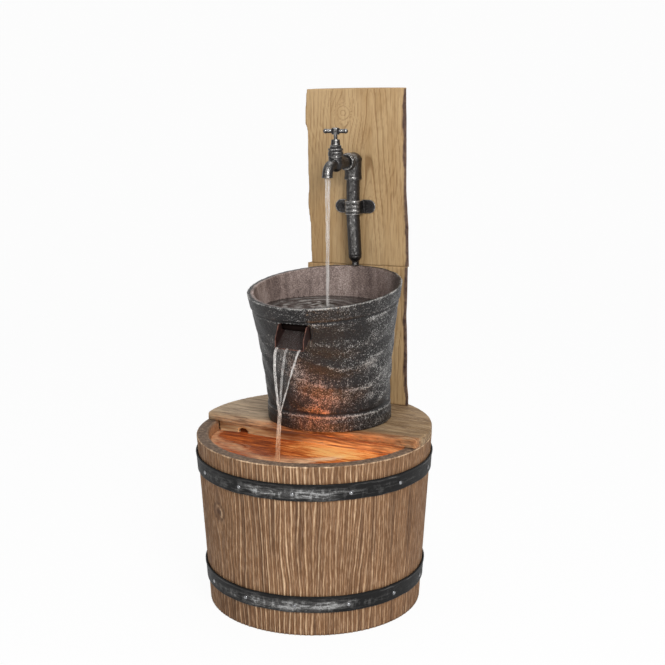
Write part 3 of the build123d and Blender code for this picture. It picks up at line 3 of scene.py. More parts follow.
import bpy
import numpy as np
from bpy.props import FloatProperty, FloatVectorProperty, IntProperty, PointerProperty
from mathutils import Matrix, Vector


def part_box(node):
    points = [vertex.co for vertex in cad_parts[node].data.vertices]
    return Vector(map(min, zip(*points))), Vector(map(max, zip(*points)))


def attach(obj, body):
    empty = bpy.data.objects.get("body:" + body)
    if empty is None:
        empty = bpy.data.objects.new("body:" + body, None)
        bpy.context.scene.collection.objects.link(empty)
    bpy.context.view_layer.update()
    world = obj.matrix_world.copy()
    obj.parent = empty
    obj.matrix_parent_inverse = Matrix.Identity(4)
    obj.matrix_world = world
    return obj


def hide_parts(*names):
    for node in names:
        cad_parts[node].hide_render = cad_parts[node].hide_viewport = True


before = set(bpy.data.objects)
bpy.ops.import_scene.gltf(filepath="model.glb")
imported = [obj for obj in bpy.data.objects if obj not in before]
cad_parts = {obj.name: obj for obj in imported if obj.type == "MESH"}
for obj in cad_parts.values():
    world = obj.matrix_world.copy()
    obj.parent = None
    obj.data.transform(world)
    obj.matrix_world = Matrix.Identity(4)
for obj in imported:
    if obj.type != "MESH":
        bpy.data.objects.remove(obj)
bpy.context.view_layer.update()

bl_info = {
    "name": "Barrel Fountain",
    "version": (1, 0, 0),
    "blender": (4, 5, 0),
    "location": "View3D > Sidebar > Fountain",
    "description": "Dresses a half-barrel fountain with its pail, log post, tap and water",
    "category": "Object",
}

TURN = 2 * math.pi

# How fine the even skins are that get carved.
BOARD_SKIN = 0.0017
PAIL_SKIN = 0.0018
CHUTE_SKIN = 0.0008
CLIP_SKIN = 0.0007

# The barrel: a tapered shell with staves carved on its outside.
RIM_R = 0.2100
BASE_R = 0.1909
BARREL_HEIGHT = 0.3060
BARREL_WALL = 0.0228
BARREL_FLOOR = 0.0160
FOOT_RECESS_R = 0.1649
FOOT_RECESS = 0.0050
RIM_ROUND = 0.0030
GROMMET_X = -0.0600
GROMMET_SIZE = (0.0150, 0.0140)
DRAIN_Z = 0.0250
DRAIN_HOLE_R = 0.0070
DRAIN_SPOT_R = 0.0130
DRAIN_SPOT_DEPTH = 0.0040
GRAIN_R = 0.2000
BARREL_KNOT = (math.radians(-117.7), 0.1960)

# The hoops, and the lap where each is closed at the rear.
HOOP_COLUMNS = 720
HOOP_HEIGHT = 0.0300
HOOP_THICK = 0.0022
HOOP_BEAD = 0.0009
HOOP_BEAD_HEIGHT = 0.0046
LAP_THICK = 0.0016
LAP_MIDDLE = math.radians(93.2)
LAP_HALF = math.radians(7.0)
HOOP_LEVELS = {"upper_hoop": 0.2455, "lower_hoop": 0.0432}

# The pail: a flared shell whose sections tilt towards the mouth. The places of its
# floor and bands are shares of its height.
PAIL_BASE = np.array((0.0080, 0.0470, 0.3220))
PAIL_TOP = np.array((0.0120, 0.0188, 0.5656))
PAIL_TILT = math.radians(6.8)
PAIL_SIDE_TILT = math.radians(-1.6)
PAIL_BASE_R = 0.1100
PAIL_RIM_R = 0.1362
PAIL_FLARE = 1.7
PAIL_WALL = 0.0090
PAIL_MOUTH_SHIFT = 0.0035
PAIL_FLOOR_SHARE = 0.52
RIM_LINE = 0.8933
BASE_BAND = 0.0985
FOOT_LINE = 0.1240

# The notch through the apron, and the knot and growth arches of the posts.
NOTCH = (-0.1340, 0.2895)
POST_KNOT = (-0.0200, 0.8550)
POST_CRACK_X = -0.0445
UPPER_ARCH = (0.034, 0.80, 0.150)
LOWER_ARCH = (0.190, 0.40, 0.300)

# Where the water runs.
WATER_GAP = 0.0004
WATER_IOR = 1.33
BASIN_LEVEL = 0.2880
POOL_LEVEL = 0.5235
CHUTE_X = 0.0140
CHUTE_HALF = 0.0243
CHUTE_LIP = (-0.1190, 0.4800)
CHUTE_CREST = (-0.0820, 0.5070)
NOZZLE = (0.0081, 0.0395, 0.7507)
LANDING = (0.0135, -0.1650)
FALL_HALF = 0.0222
MEETING = 0.54
STRANDS = ((-1.0, 0.0027, 1.0), (-0.10, 0.0025, 0.45), (0.97, 0.0018, 0.9))

# The camera, and the floor that turns with it.
CAMERA_PLACE = (1.03215, -2.02938, 0.99831)
CAMERA_BACK = (0.42957, -0.87569, 0.22053)
CAMERA_TURN = math.radians(26.13)
CAMERA_ROLL = math.radians(-0.13)
CAMERA_LENS = 72.05
CAMERA_SENSOR = 36.0


# ------------------------------------------------------------------- colours
def shade(red, green, blue):
    """A linear colour from red, green and blue of 0 to 255."""
    linear = []
    for level in (red, green, blue):
        part = level / 255
        linear.append(part / 12.92 if part <= 0.04045 else ((part + 0.055) / 1.055) ** 2.4)
    return (*linear, 1.0)


def colour_box(name, description, red, green, blue):
    return FloatVectorProperty(
        name=name, description=description, subtype="COLOR", size=4,
        min=0.0, max=1.0, default=shade(red, green, blue),
    )


def length_box(name, description, default, high=0.1):
    return FloatProperty(
        name=name, description=description, unit="LENGTH", subtype="DISTANCE",
        default=default, min=0.0, max=high,
    )


# --------------------------------------------------------------------- noise
def lattice(x, y, z, seed):
    """A fixed random value from -1 to 1 for each whole-number point."""
    mix = (x * 374761393 + y * 668265263 + z * 1103515245 + seed * 974634777) & 0xFFFFFFFF
    mix = ((mix ^ (mix >> 13)) * 1274126177) & 0xFFFFFFFF
    return (mix ^ (mix >> 16)) / 0x7FFFFFFF - 1.0


def cloud(points, size, seed):
    """Smooth noise from -1 to 1 whose lumps have the given size along x, y, z."""
    spot = points / np.asarray(size)
    base = np.floor(spot).astype(np.int64)
    part = spot - base
    part = part * part * part * (part * (part * 6 - 15) + 10)
    total = np.zeros(len(points))
    for corner in range(8):
        weight = np.ones(len(points))
        cell = []
        for axis in range(3):
            step = corner >> axis & 1
            weight = weight * (part[:, axis] if step else 1 - part[:, axis])
            cell.append(base[:, axis] + step)
        total += weight * lattice(*cell, seed)
    return total


def layered(points, size, seed, layers=3):
    """Noise with smaller lumps added on the large ones."""
    total = np.zeros(len(points))
    size = np.asarray(size, dtype=float)
    for layer in range(layers):
        total += cloud(points, size / 2 ** layer, seed + layer) / 2 ** layer
    return total / (2 - 0.5 ** (layers - 1))


def ease(value, low, high):
    """0 below low, 1 above high and smooth between."""
    part = np.clip((value - low) / (high - low), 0, 1)
    return part * part * (3 - 2 * part)


def bell(value, middle, width):
    """1 at the middle, and smoothly down to 0 a few widths away."""
    return np.exp(-((value - middle) / width) ** 2)


def mixed(noise):
    """Noise of -1 to 1 as a share of 0 to 1."""
    return 0.5 + 0.5 * noise


def ridges(lines):
    """1 on every whole number of lines and 0 halfway between."""
    return 1 - np.abs(2 * (lines - np.floor(lines + 0.5)))


def from_angle(angle, middle):
    """How far an angle lies from a middle, up to half a turn either way."""
    return np.mod(angle - middle + math.pi, TURN) - math.pi


def full_turn(columns):
    return np.arange(columns) * TURN / columns


# -------------------------------------------------------------------- meshes
def place_piece(name, mesh, body, finish):
    """Puts a mesh in the scene as a piece that moves with a body."""
    piece = bpy.data.objects.new(name, mesh)
    bpy.context.scene.collection.objects.link(piece)
    mesh.materials.clear()
    mesh.materials.append(finish)
    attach(piece, body)
    return piece


def rows_of(*columns):
    """Points from their x, y and z, each an array or one number."""
    return np.stack(np.broadcast_arrays(*columns), axis=1)


def on_ring(radius, angle, height):
    """Points from their radius, angle and height round the upright axis."""
    return rows_of(radius * np.cos(angle), radius * np.sin(angle), height)


def build_mesh(name, points, faces, smooth=True):
    mesh = bpy.data.meshes.new(name)
    mesh.from_pydata([tuple(point) for point in points], [], faces)
    mesh.polygons.foreach_set("use_smooth", [smooth] * len(mesh.polygons))
    mesh.update()
    return mesh


def read_points(mesh):
    flat = np.empty(len(mesh.vertices) * 3)
    mesh.vertices.foreach_get("co", flat)
    return flat.reshape(-1, 3)


def read_normals(mesh):
    flat = np.empty(len(mesh.vertices) * 3)
    mesh.vertex_normals.foreach_get("vector", flat)
    return flat.reshape(-1, 3)


def write_points(mesh, points):
    mesh.vertices.foreach_set("co", np.asarray(points, dtype=np.float32).ravel())
    mesh.update()


def write_mark(mesh, name, values):
    """Stores a number on every point, for the finish to read."""
    layer = mesh.attributes.new(name, "FLOAT", "POINT")
    layer.data.foreach_set("value", np.asarray(values, dtype=np.float32))


def settle(mesh, *modifiers):
    """The mesh with modifiers applied, each given as a kind and its settings."""
    holder = bpy.data.objects.new("holder", mesh)
    bpy.context.scene.collection.objects.link(holder)
    for kind, settings in modifiers:
        modifier = holder.modifiers.new(kind, kind)
        for key, value in settings.items():
            setattr(modifier, key, value)
    graph = bpy.context.evaluated_depsgraph_get()
    settled = bpy.data.meshes.new_from_object(holder.evaluated_get(graph))
    bpy.data.objects.remove(holder)
    return settled


def even_skin(node, voxel, rounds=2):
    """A fine even skin over a part, ready for carving."""
    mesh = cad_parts[node].data.copy()
    mesh.materials.clear()
    skin = settle(
        mesh,
        ("REMESH", {"mode": "VOXEL", "voxel_size": voxel, "use_smooth_shade": True}),
        ("SMOOTH", {"factor": 0.5, "iterations": rounds}),
    )
    skin.name = node + "_skin"
    return skin


def neighbour_mean(mesh, values):
    """The mean of a number over each point's neighbours."""
    ends = np.empty(len(mesh.edges) * 2, dtype=np.int64)
    mesh.edges.foreach_get("vertices", ends)
    first, second = ends.reshape(-1, 2).T
    count = len(mesh.vertices)
    degree = np.bincount(ends, minlength=count)
    total = np.bincount(first, values[second], count)
    total = total + np.bincount(second, values[first], count)
    return total / np.maximum(degree, 1)


def edge_wear(mesh, span, rounds=3):
    """1 on sharp outer edges, 0 on flats and below 0 in hollows."""
    points = read_points(mesh)
    mean = rows_of(*(neighbour_mean(mesh, column) for column in points.T))
    bend = np.einsum("ij,ij->i", points - mean, read_normals(mesh)) / span
    for _ in range(rounds):
        bend = 0.5 * bend + 0.5 * neighbour_mean(mesh, bend)
    return np.clip(bend * 12, -1, 1)


def carve(mesh, depth):
    """Presses every point into the surface by its own depth."""
    write_points(mesh, read_points(mesh) - read_normals(mesh) * depth[:, None])


def ring_faces(rows, columns):
    """Quads between rings of points, row after row."""
    faces = []
    for first in range(0, (rows - 1) * columns, columns):
        for column in range(columns):
            near, side = first + column, first + (column + 1) % columns
            faces.append((near, side, side + columns, near + columns))
    return faces


def closing_faces(rows, columns):
    """Quads from the last ring back to the first."""
    last = (rows - 1) * columns
    sides = [(column, (column + 1) % columns) for column in range(columns)]
    return [(last + column, last + side, side, column) for column, side in sides]


def cut_away(mesh, *cutters):
    """The mesh with closed cutter meshes taken from it."""
    holders = []
    steps = []
    for cutter in cutters:
        holder = bpy.data.objects.new("cutter", cutter)
        bpy.context.scene.collection.objects.link(holder)
        holders.append(holder)
        cut = {"operation": "DIFFERENCE", "solver": "MANIFOLD", "object": holder}
        steps.append(("BOOLEAN", cut))
    bpy.context.view_layer.update()
    result = settle(mesh, *steps)
    for holder in holders:
        bpy.data.objects.remove(holder)
    return result


def round_cutter(radius, start, end):
    """A closed round bar between two points."""
    sides = 40
    start, end = Vector(start), Vector(end)
    turn = (end - start).to_track_quat("Z", "Y").to_matrix()
    points = []
    for middle in (start, end):
        for side in range(sides):
            angle = TURN * side / sides
            reach = Vector((radius * math.cos(angle), radius * math.sin(angle), 0))
            points.append(middle + turn @ reach)
    faces = ring_faces(2, sides)
    faces += [tuple(range(sides - 1, -1, -1)), tuple(range(sides, 2 * sides))]
    return build_mesh("round_cutter", points, faces, smooth=False)


def box_cutter(low, high):
    """A closed box between two corners."""
    across, along, up = zip(low, high)
    points = [(x, y, z) for z in up for y in along for x in across]
    faces = [(0, 2, 3, 1), (4, 5, 7, 6), (0, 1, 5, 4), (2, 6, 7, 3), (0, 4, 6, 2), (1, 3, 7, 5)]
    return build_mesh("box_cutter", points, faces, smooth=False)


# ------------------------------------------------------------ shader helpers
SOCKETS = {
    "metallic": "Metallic",
    "specular": "Specular IOR Level",
    "ior": "IOR",
    "glow": "Emission Color",
    "glow_strength": "Emission Strength",
}


def start_finish(name):
    """An empty node finish and its surface shader."""
    finish = bpy.data.materials.new(name)
    finish.use_nodes = True
    return finish, finish.node_tree, finish.node_tree.nodes["Principled BSDF"]


def fill(tree, socket, value):
    """Links a socket to another, or sets its own value."""
    if isinstance(value, bpy.types.NodeSocket):
        tree.links.new(value, socket)
    else:
        socket.default_value = value


def add(tree, kind, inputs, **settings):
    """A node of a kind, with its inputs filled and its settings set."""
    node = tree.nodes.new(kind)
    for key, value in settings.items():
        setattr(node, key, value)
    for key, value in inputs.items():
        fill(tree, node.inputs[key], value)
    return node


def place(tree, stretch=(1, 1, 1)):
    """Position on the object, stretched along the grain."""
    spot = tree.nodes.new("ShaderNodeTexCoord").outputs["Object"]
    return add(tree, "ShaderNodeMapping", {"Vector": spot, "Scale": stretch}).outputs[0]


def speckle(tree, spot, scale, detail=3.0, rough=0.55, twist=0.0):
    """Noise of 0 to 1 whose lumps are finer the larger the scale."""
    inputs = {
        "Vector": spot, "Scale": scale, "Detail": detail, "Roughness": rough, "Distortion": twist,
    }
    return add(tree, "ShaderNodeTexNoise", inputs).outputs["Fac"]


def ramp(tree, factor, *stops):
    """Colours spread along a factor, each stop as a place and a colour."""
    node = add(tree, "ShaderNodeValToRGB", {"Fac": factor})
    elements = node.color_ramp.elements
    while len(elements) < len(stops):
        elements.new(0.5)
    for element, (spot, colour) in zip(elements, stops):
        element.position = spot
        element.color = colour
    return node.outputs["Color"]


def levels(tree, value, low, high, to_low=0.0, to_high=1.0):
    """A number's range from low to high spread over a new range."""
    inputs = {"Value": value, 1: low, 2: high, 3: to_low, 4: to_high}
    return add(tree, "ShaderNodeMapRange", inputs).outputs["Result"]


def blend(tree, factor, first, second, kind="MIX"):
    """The first colour, and the second over it by a factor."""
    inputs = {0: factor, 6: first, 7: second}
    return add(tree, "ShaderNodeMix", inputs, data_type="RGBA", blend_type=kind).outputs[2]


def stain(tree, body, pattern, low, high, share, colour):
    """A colour laid over a body as a pattern goes from low to high, up to a share."""
    return blend(tree, levels(tree, pattern, low, high, 0.0, share), body, colour)


def sums(tree, kind, first, second):
    return add(tree, "ShaderNodeMath", {0: first, 1: second}, operation=kind).outputs[0]


def plus(tree, *parts):
    total = parts[0]
    for part in parts[1:]:
        total = sums(tree, "ADD", total, part)
    return total


def times(tree, first, second):
    return sums(tree, "MULTIPLY", first, second)


def mark(tree, name):
    """A number that was stored on the points."""
    return add(tree, "ShaderNodeAttribute", {}, attribute_name=name).outputs["Fac"]


def axis_of(tree, axis):
    """One coordinate of the position on the object."""
    spot = tree.nodes.new("ShaderNodeTexCoord").outputs["Object"]
    return add(tree, "ShaderNodeSeparateXYZ", {"Vector": spot}).outputs[axis]


def bump(tree, shader, height, distance, strength=1.0):
    """Small relief in the shading, of a height in metres."""
    inputs = {"Height": height, "Distance": distance, "Strength": strength}
    normal = add(tree, "ShaderNodeBump", inputs).outputs["Normal"]
    tree.links.new(normal, shader.inputs["Normal"])


def coat(tree, shader, colour, rough, **constants):
    """Gives the shader a colour and roughness, and sets what is the same all over."""
    fill(tree, shader.inputs["Base Color"], colour)
    fill(tree, shader.inputs["Roughness"], rough)
    for name, value in constants.items():
        shader.inputs[SOCKETS[name]].default_value = value


def cover(tree, factor, first, second):
    """Shows the first shader, and the second over it by a factor."""
    both = tree.nodes.new("ShaderNodeMixShader")
    for socket, value in zip(both.inputs, (factor, first.outputs[0], second.outputs[0])):
        tree.links.new(value, socket)
    tree.links.new(both.outputs[0], tree.nodes["Material Output"].inputs["Surface"])


def dress(finish, *nodes):
    """Gives parts that keep their own shape a finish."""
    for node in nodes:
        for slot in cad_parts[node].material_slots:
            slot.material = finish


# ------------------------------------------------------------------ settings
class BarrelSettings(bpy.types.PropertyGroup):
    groove: length_box("Groove depth", "Depth of the grain carved in the staves", 0.0015, 0.01)
    pitch: length_box("Grain pitch", "Distance between ridges of the grain", 0.0098, 0.05)
    columns: IntProperty(
        name="Columns", description="Points round the barrel", default=1560, min=200, max=2400,
    )
    ridge: colour_box("Ridge", "Colour of the raised grain", 232, 200, 164)
    stave: colour_box("Stave", "Colour between the ridges", 138, 100, 68)
    streak: colour_box("Streak", "Colour of the dark streaks", 78, 52, 34)
    weathered: colour_box("Weathered rim", "Colour of the rim's flat top", 118, 98, 82)


class HoopSettings(bpy.types.PropertyGroup):
    dent: length_box("Dent depth", "Depth of the hammer marks", 0.0005, 0.005)
    iron: colour_box("Iron", "Colour of the blackened iron", 17, 16, 16)
    # The rubbed colour also paints the hoops' sheen on their front.
    rubbed: colour_box("Rubbed", "Colour of the rubbed patches", 172, 172, 171)


class DeckSettings(bpy.types.PropertyGroup):
    groove: length_box("Groove depth", "Depth of the boards' grain", 0.0011, 0.01)
    pale: colour_box("Weathered", "Colour of the weathered half", 204, 180, 152)
    brown: colour_box("Brown", "Colour of the browner half", 152, 124, 90)
    dark: colour_box("Grain", "Colour in the grain", 84, 60, 40)
    # This edge colour is painted amber lamp light on the deck's front edge.
    lamp_glow_edge: colour_box("Warm edge", "Colour of the front edge that the lamp tints", 206, 132, 78)
    # The apron colour is the upright board under painted amber lamp light.
    apron: colour_box("Apron", "Colour of the upright board", 186, 128, 82)
    soaked: colour_box("Soaked", "Colour of the soaked grain of the upright board", 104, 60, 34)


class PailSettings(bpy.types.PropertyGroup):
    fold: length_box("Fold depth", "Depth of the broad folds", 0.0024, 0.01)
    stipple: length_box("Stipple", "Depth of the sand-cast stipple", 0.0005, 0.003)
    pewter: colour_box("Pewter", "Colour of the dark metal", 20, 17, 17)
    # The silver colour also paints the pail's highlights.
    silver: colour_box("Silver", "Colour brushed on the high spots", 178, 176, 172)
    # The copper tint paints the amber lamp light low on the pail's front.
    copper: colour_box("Copper tint", "Tint low on the front", 208, 132, 92)
    inside: colour_box("Inside", "Colour of the inner wall", 182, 164, 156)


class PostSettings(bpy.types.PropertyGroup):
    groove: length_box("Groove depth", "Depth of the growth lines", 0.0008, 0.01)
    pitch: length_box("Line pitch", "Distance between growth lines", 0.0088, 0.05)
    wood: colour_box("Sawn oak", "Colour of the sawn face", 174, 141, 98)
    pale: colour_box("Pale oak", "Colour of the lightest grain", 194, 164, 122)
    line: colour_box("Growth line", "Colour in the growth lines", 132, 98, 60)
    bark: colour_box("Bark", "Colour of the bark edges", 58, 40, 38)


class TapSettings(bpy.types.PropertyGroup):
    gunmetal: colour_box("Gunmetal", "Colour of the dark metal", 54, 52, 52)
    # This colour also paints the tap's highlights.
    polished_and_highlight: colour_box("Polished", "Colour where it is rubbed bright", 214, 211, 208)
    copper: colour_box("Copper", "Colour of the chute's worn edges", 132, 88, 72)
    patina: colour_box("Patina", "Colour of the chute's dark faces", 46, 30, 27)


class WaterSettings(bpy.types.PropertyGroup):
    ripple: length_box("Ripple height", "Height of the ripples under the stream", 0.0014, 0.01)
    basin: colour_box("Basin water", "Colour of the lamplit water in the barrel", 238, 150, 80)
    depths: colour_box("Basin depths", "Colour of the basin's darker water", 118, 54, 30)
    foam: colour_box("Foam", "Colour of the foam along the rim", 252, 214, 170)
    pool: colour_box("Pail water", "Colour of the water in the pail", 40, 37, 36)
    stream: colour_box("Stream", "Colour of the falling water", 244, 240, 236)


class LampSettings(bpy.types.PropertyGroup):
    glow: colour_box("Glow", "Colour of the submerged lamp", 255, 184, 110)
    power: FloatProperty(
        name="Power", description="Power of the submerged lamp", subtype="POWER",
        default=3.8, min=0.0, max=20.0,
    )


class StageSettings(bpy.types.PropertyGroup):
    floor: colour_box("Floor", "Colour of the floor and backdrop", 236, 236, 236)
    key: FloatProperty(
        name="Key", description="Power of the key light", subtype="POWER", default=52.0, min=0.0,
    )
    fill: FloatProperty(
        name="Fill", description="Power of the fill light", subtype="POWER", default=4.5, min=0.0,
    )
    sky: FloatProperty(
        name="Sky", description="Strength of the light from all round", default=0.44, min=0.0,
    )


# ------------------------------------------------------------------ finishes
def barrel_finish(settings):
    """Stained oak: pale thin ridges on brown staves, and a greyer rim."""
    finish, tree, shader = start_finish("carved_oak")
    ridge, stave, streak = settings.ridge, settings.stave, settings.streak
    fibres = speckle(tree, place(tree, (1, 1, 0.07)), 560.0, 3.0, 0.62)
    streaks = speckle(tree, place(tree, (1, 1, 0.06)), 70.0, 4.0, 0.62, 0.5)
    worn = speckle(tree, place(tree, (1, 1, 0.35)), 210.0, 4.0, 0.7)
    cloudy = speckle(tree, place(tree, (1, 1, 0.4)), 14.0, 4.0, 0.6)
    height = plus(tree, mark(tree, "groove"), levels(tree, worn, 0.42, 0.72, -0.06, 0.3))
    body = ramp(tree, height, (0.12, ridge), (0.5, shade(176, 136, 98)), (0.92, stave))
    fine = levels(tree, fibres, 0.38, 0.62)
    body = blend(tree, 0.3, body, ramp(tree, fine, (0.0, streak), (0.5, stave), (1.0, ridge)))
    body = stain(tree, body, streaks, 0.5, 0.72, 0.42, streak)
    # The dark mark is stain in the grain and painted shade on the flanks.
    body = stain(tree, body, mark(tree, "dark"), 0.0, 1.0, 0.8, streak)
    shaded = levels(tree, cloudy, 0.35, 0.65, 0.22, 0.0)
    body = blend(tree, shaded, body, shade(120, 96, 76), "MULTIPLY")
    ringed = speckle(tree, place(tree), 150.0, 4.0, 0.66)
    greys = (0.34, shade(84, 68, 56)), (0.54, settings.weathered), (0.72, shade(156, 132, 108))
    body = blend(tree, mark(tree, "top"), body, ramp(tree, ringed, *greys))
    body = stain(tree, body, mark(tree, "edge"), 0.2, 0.9, 0.7, ridge)
    coat(tree, shader, body, levels(tree, fibres, 0.3, 0.7, 0.82, 0.6), specular=0.3)
    bump(tree, shader, fibres, 0.0007, 0.8)
    return finish


def hoop_finish(settings):
    """Blackened iron, brushed silver in patches by fine scratches, with a painted sheen on its
    front.
    """
    finish, tree, shader = start_finish("hammered_iron")
    smear = speckle(tree, place(tree, (1, 1, 2.2)), 34.0, 6.0, 0.68, 0.8)
    scratch = speckle(tree, place(tree, (1, 1, 9.0)), 90.0, 4.0, 0.7)
    grit = speckle(tree, place(tree), 520.0, 2.0, 0.6)
    wear_and_painted_light = plus(tree, mark(tree, "rub_and_sheen"), levels(tree, smear, 0.5, 0.76, 0.0, 0.2))
    wear_and_painted_light = times(tree, wear_and_painted_light, levels(tree, scratch, 0.4, 0.6, 0.55, 1.2))
    wear_and_painted_light = times(tree, wear_and_painted_light, levels(tree, grit, 0.38, 0.62, 0.65, 1.1))
    greys = (0.04, settings.iron), (0.4, shade(88, 87, 86)), (1.0, settings.rubbed)
    rough = levels(tree, wear_and_painted_light, 0.0, 0.9, 0.62, 0.42)
    coat(tree, shader, ramp(tree, wear_and_painted_light, *greys), rough, metallic=0.25, specular=0.3)
    bump(tree, shader, plus(tree, grit, scratch), 0.0004, 0.6)
    return finish


def deck_finish(settings):
    """Weathered board: pale on the left, browner on the right, with painted amber lamp light along
    its front edge.
    """
    finish, tree, shader = start_finish("weathered_board")
    fibres = speckle(tree, place(tree, (0.09, 1, 1)), 300.0, 4.0, 0.66)
    weave = speckle(tree, place(tree, (0.07, 1, 1)), 120.0, 5.0, 0.7, 0.5)
    patches = speckle(tree, place(tree, (0.5, 1, 1)), 16.0, 3.0)
    side = levels(tree, axis_of(tree, "X"), -0.05, 0.1)
    side = plus(tree, side, levels(tree, patches, 0.3, 0.7, -0.3, 0.3))
    body = blend(tree, levels(tree, side, 0.0, 1.0), settings.pale, settings.brown)
    body = stain(tree, body, weave, 0.5, 0.62, 0.45, shade(206, 180, 146))
    body = stain(tree, body, weave, 0.5, 0.38, 0.45, settings.dark)
    body = stain(tree, body, mark(tree, "groove"), 0.08, 0.8, 0.9, settings.dark)
    body = stain(tree, body, fibres, 0.5, 0.62, 0.6, settings.dark)
    # Painted lamp light: the front edge is amber on the right, by the lamp, and a duller brown on
    # the left.
    lamp_glow_edge = ramp(tree, fibres, (0.38, settings.lamp_glow_edge), (0.6, shade(120, 66, 34)))
    dull = ramp(tree, fibres, (0.38, shade(178, 146, 110)), (0.6, shade(98, 70, 46)))
    lamp_glow_edge = blend(tree, levels(tree, axis_of(tree, "X"), 0.0, -0.12), lamp_glow_edge, dull)
    body = blend(tree, mark(tree, "lamp_glow_edge"), body, lamp_glow_edge)
    coat(tree, shader, body, levels(tree, fibres, 0.3, 0.7, 0.8, 0.6), specular=0.3)
    bump(tree, shader, plus(tree, fibres, weave), 0.0008, 0.7)
    return finish


def apron_finish(settings):
    """Wet board that stands in the water: tan on the left, orange with painted amber lamp light on
    the right, and painted shade in its notch.
    """
    finish, tree, shader = start_finish("wet_board")
    fibres = speckle(tree, place(tree, (0.07, 1, 1)), 260.0, 4.0, 0.64)
    broad = speckle(tree, place(tree, (0.12, 1, 1)), 70.0, 4.0, 0.6, 0.6)
    tans = (0.36, shade(112, 86, 60)), (0.5, shade(166, 138, 104)), (0.66, shade(204, 178, 140))
    # Painted lamp light: the orange copy of the board, used on the right by the lamp.
    lamp_lit_oranges = (0.36, settings.soaked), (0.5, settings.apron), (0.66, shade(240, 186, 126))
    left = levels(tree, axis_of(tree, "X"), 0.05, -0.10)
    body = blend(tree, left, ramp(tree, broad, *lamp_lit_oranges), ramp(tree, broad, *tans))
    body = stain(tree, body, mark(tree, "groove"), 0.0, 1.0, 0.7, settings.soaked)
    body = stain(tree, body, fibres, 0.5, 0.66, 0.65, settings.soaked)
    # Painted shade: near black in the notch.
    body = blend(tree, mark(tree, "notch_shade"), body, shade(9, 7, 6))
    coat(tree, shader, body, levels(tree, fibres, 0.3, 0.7, 0.5, 0.3))
    bump(tree, shader, fibres, 0.0006, 0.6)
    return finish


def pail_finish(settings):
    """Dark sand-cast pewter whose grit is dry-brushed silver, with painted highlights and painted
    shade from its marks, and painted amber lamp light low in front.
    """
    finish, tree, shader = start_finish("cast_pewter")
    spot = place(tree)
    grit = speckle(tree, spot, 540.0, 2.0, 0.5)
    worms = speckle(tree, spot, 250.0, 3.0, 0.66, 0.8)
    wisps = speckle(tree, place(tree, (1.0, 1.0, 2.0)), 24.0, 6.0, 0.72, 1.6)
    # The mark on the points adds painted highlights and painted shade to the dry-brushed silver.
    level = plus(
        tree, times(tree, grit, 0.62), times(tree, worms, 0.38),
        times(tree, mark(tree, "wear_and_painted_light"), 0.19), levels(tree, wisps, 0.4, 0.7, -0.035, 0.06),
    )
    shine = levels(tree, level, 0.49, 0.68)
    greys = (0.0, settings.pewter), (0.4, shade(64, 62, 61)), (1.0, settings.silver)
    # Painted lamp light: the reds are the metal as the amber lamp lights it.
    reds = (0.0, shade(42, 25, 18)), (0.45, shade(122, 74, 52)), (1.0, settings.copper)
    grain = speckle(tree, place(tree, (1, 1, 0.22)), 75.0, 5.0, 0.68, 0.8)
    glow_level = plus(tree, shine, levels(tree, grain, 0.45, 0.68, 0.0, 0.42))
    outside = blend(
        tree, mark(tree, "lamp_glow_low"), ramp(tree, shine, *greys), ramp(tree, glow_level, *reds),
    )
    streaks = speckle(tree, place(tree, (1, 1, 0.3)), 30.0, 5.0, 0.66)
    veil = plus(tree, times(tree, streaks, 0.6), times(tree, grit, 0.4))
    pinks = (0.36, shade(70, 57, 53)), (0.5, shade(136, 118, 111)), (0.62, settings.inside)
    metal = blend(tree, mark(tree, "inside"), outside, ramp(tree, veil, *pinks))
    coat(tree, shader, metal, levels(tree, shine, 0.0, 1.0, 0.5, 0.34), metallic=0.3)
    bump(tree, shader, plus(tree, grit, worms), 0.0011, 1.0)
    return finish


def post_finish(settings):
    """Pale sawn oak with darker growth lines and bark on its edges."""
    finish, tree, shader = start_finish("sawn_oak")
    fibres = speckle(tree, place(tree, (1, 1, 0.06)), 420.0, 4.0, 0.64)
    broad = speckle(tree, place(tree, (1, 1, 0.2)), 26.0, 4.0, 0.6, 0.4)
    body = blend(tree, levels(tree, broad, 0.36, 0.64), settings.wood, settings.pale)
    body = stain(tree, body, mark(tree, "groove"), 0.1, 0.9, 0.72, settings.line)
    body = stain(tree, body, fibres, 0.52, 0.68, 0.5, settings.line)
    scales = levels(tree, speckle(tree, place(tree), 120.0, 5.0, 0.7), 0.35, 0.7)
    crust = blend(tree, scales, settings.bark, shade(112, 88, 72))
    body = blend(tree, mark(tree, "bark"), body, crust)
    coat(tree, shader, body, levels(tree, fibres, 0.3, 0.7, 0.78, 0.58), specular=0.35)
    bump(tree, shader, fibres, 0.0004, 0.5)
    return finish


def tap_finish(settings, name="gunmetal", marked=True):
    """Dark cast metal, rubbed bright on its edges and high spots, and brighter still where its mark
    paints highlights.
    """
    finish, tree, shader = start_finish(name)
    grit = speckle(tree, place(tree), 620.0, 3.0, 0.65)
    patches = speckle(tree, place(tree, (1, 1, 0.5)), 95.0, 5.0, 0.68, 0.7)
    wear_and_painted_light = levels(tree, patches, 0.5, 0.74, -0.1, 0.25)
    wear_and_painted_light = plus(tree, wear_and_painted_light, levels(tree, grit, 0.46, 0.7, -0.15, 0.4))
    if marked:
        wear_and_painted_light = plus(tree, wear_and_painted_light, levels(tree, mark(tree, "wear_and_painted_light"), 0.1, 1.0, 0.0, 0.85))
    greys = (0.0, settings.gunmetal), (0.4, shade(112, 110, 108)), (1.0, settings.polished_and_highlight)
    rough = levels(tree, wear_and_painted_light, 0.0, 1.0, 0.34, 0.2)
    coat(tree, shader, ramp(tree, wear_and_painted_light, *greys), rough, metallic=0.88)
    bump(tree, shader, plus(tree, patches, grit), 0.0006, 0.8)
    return finish


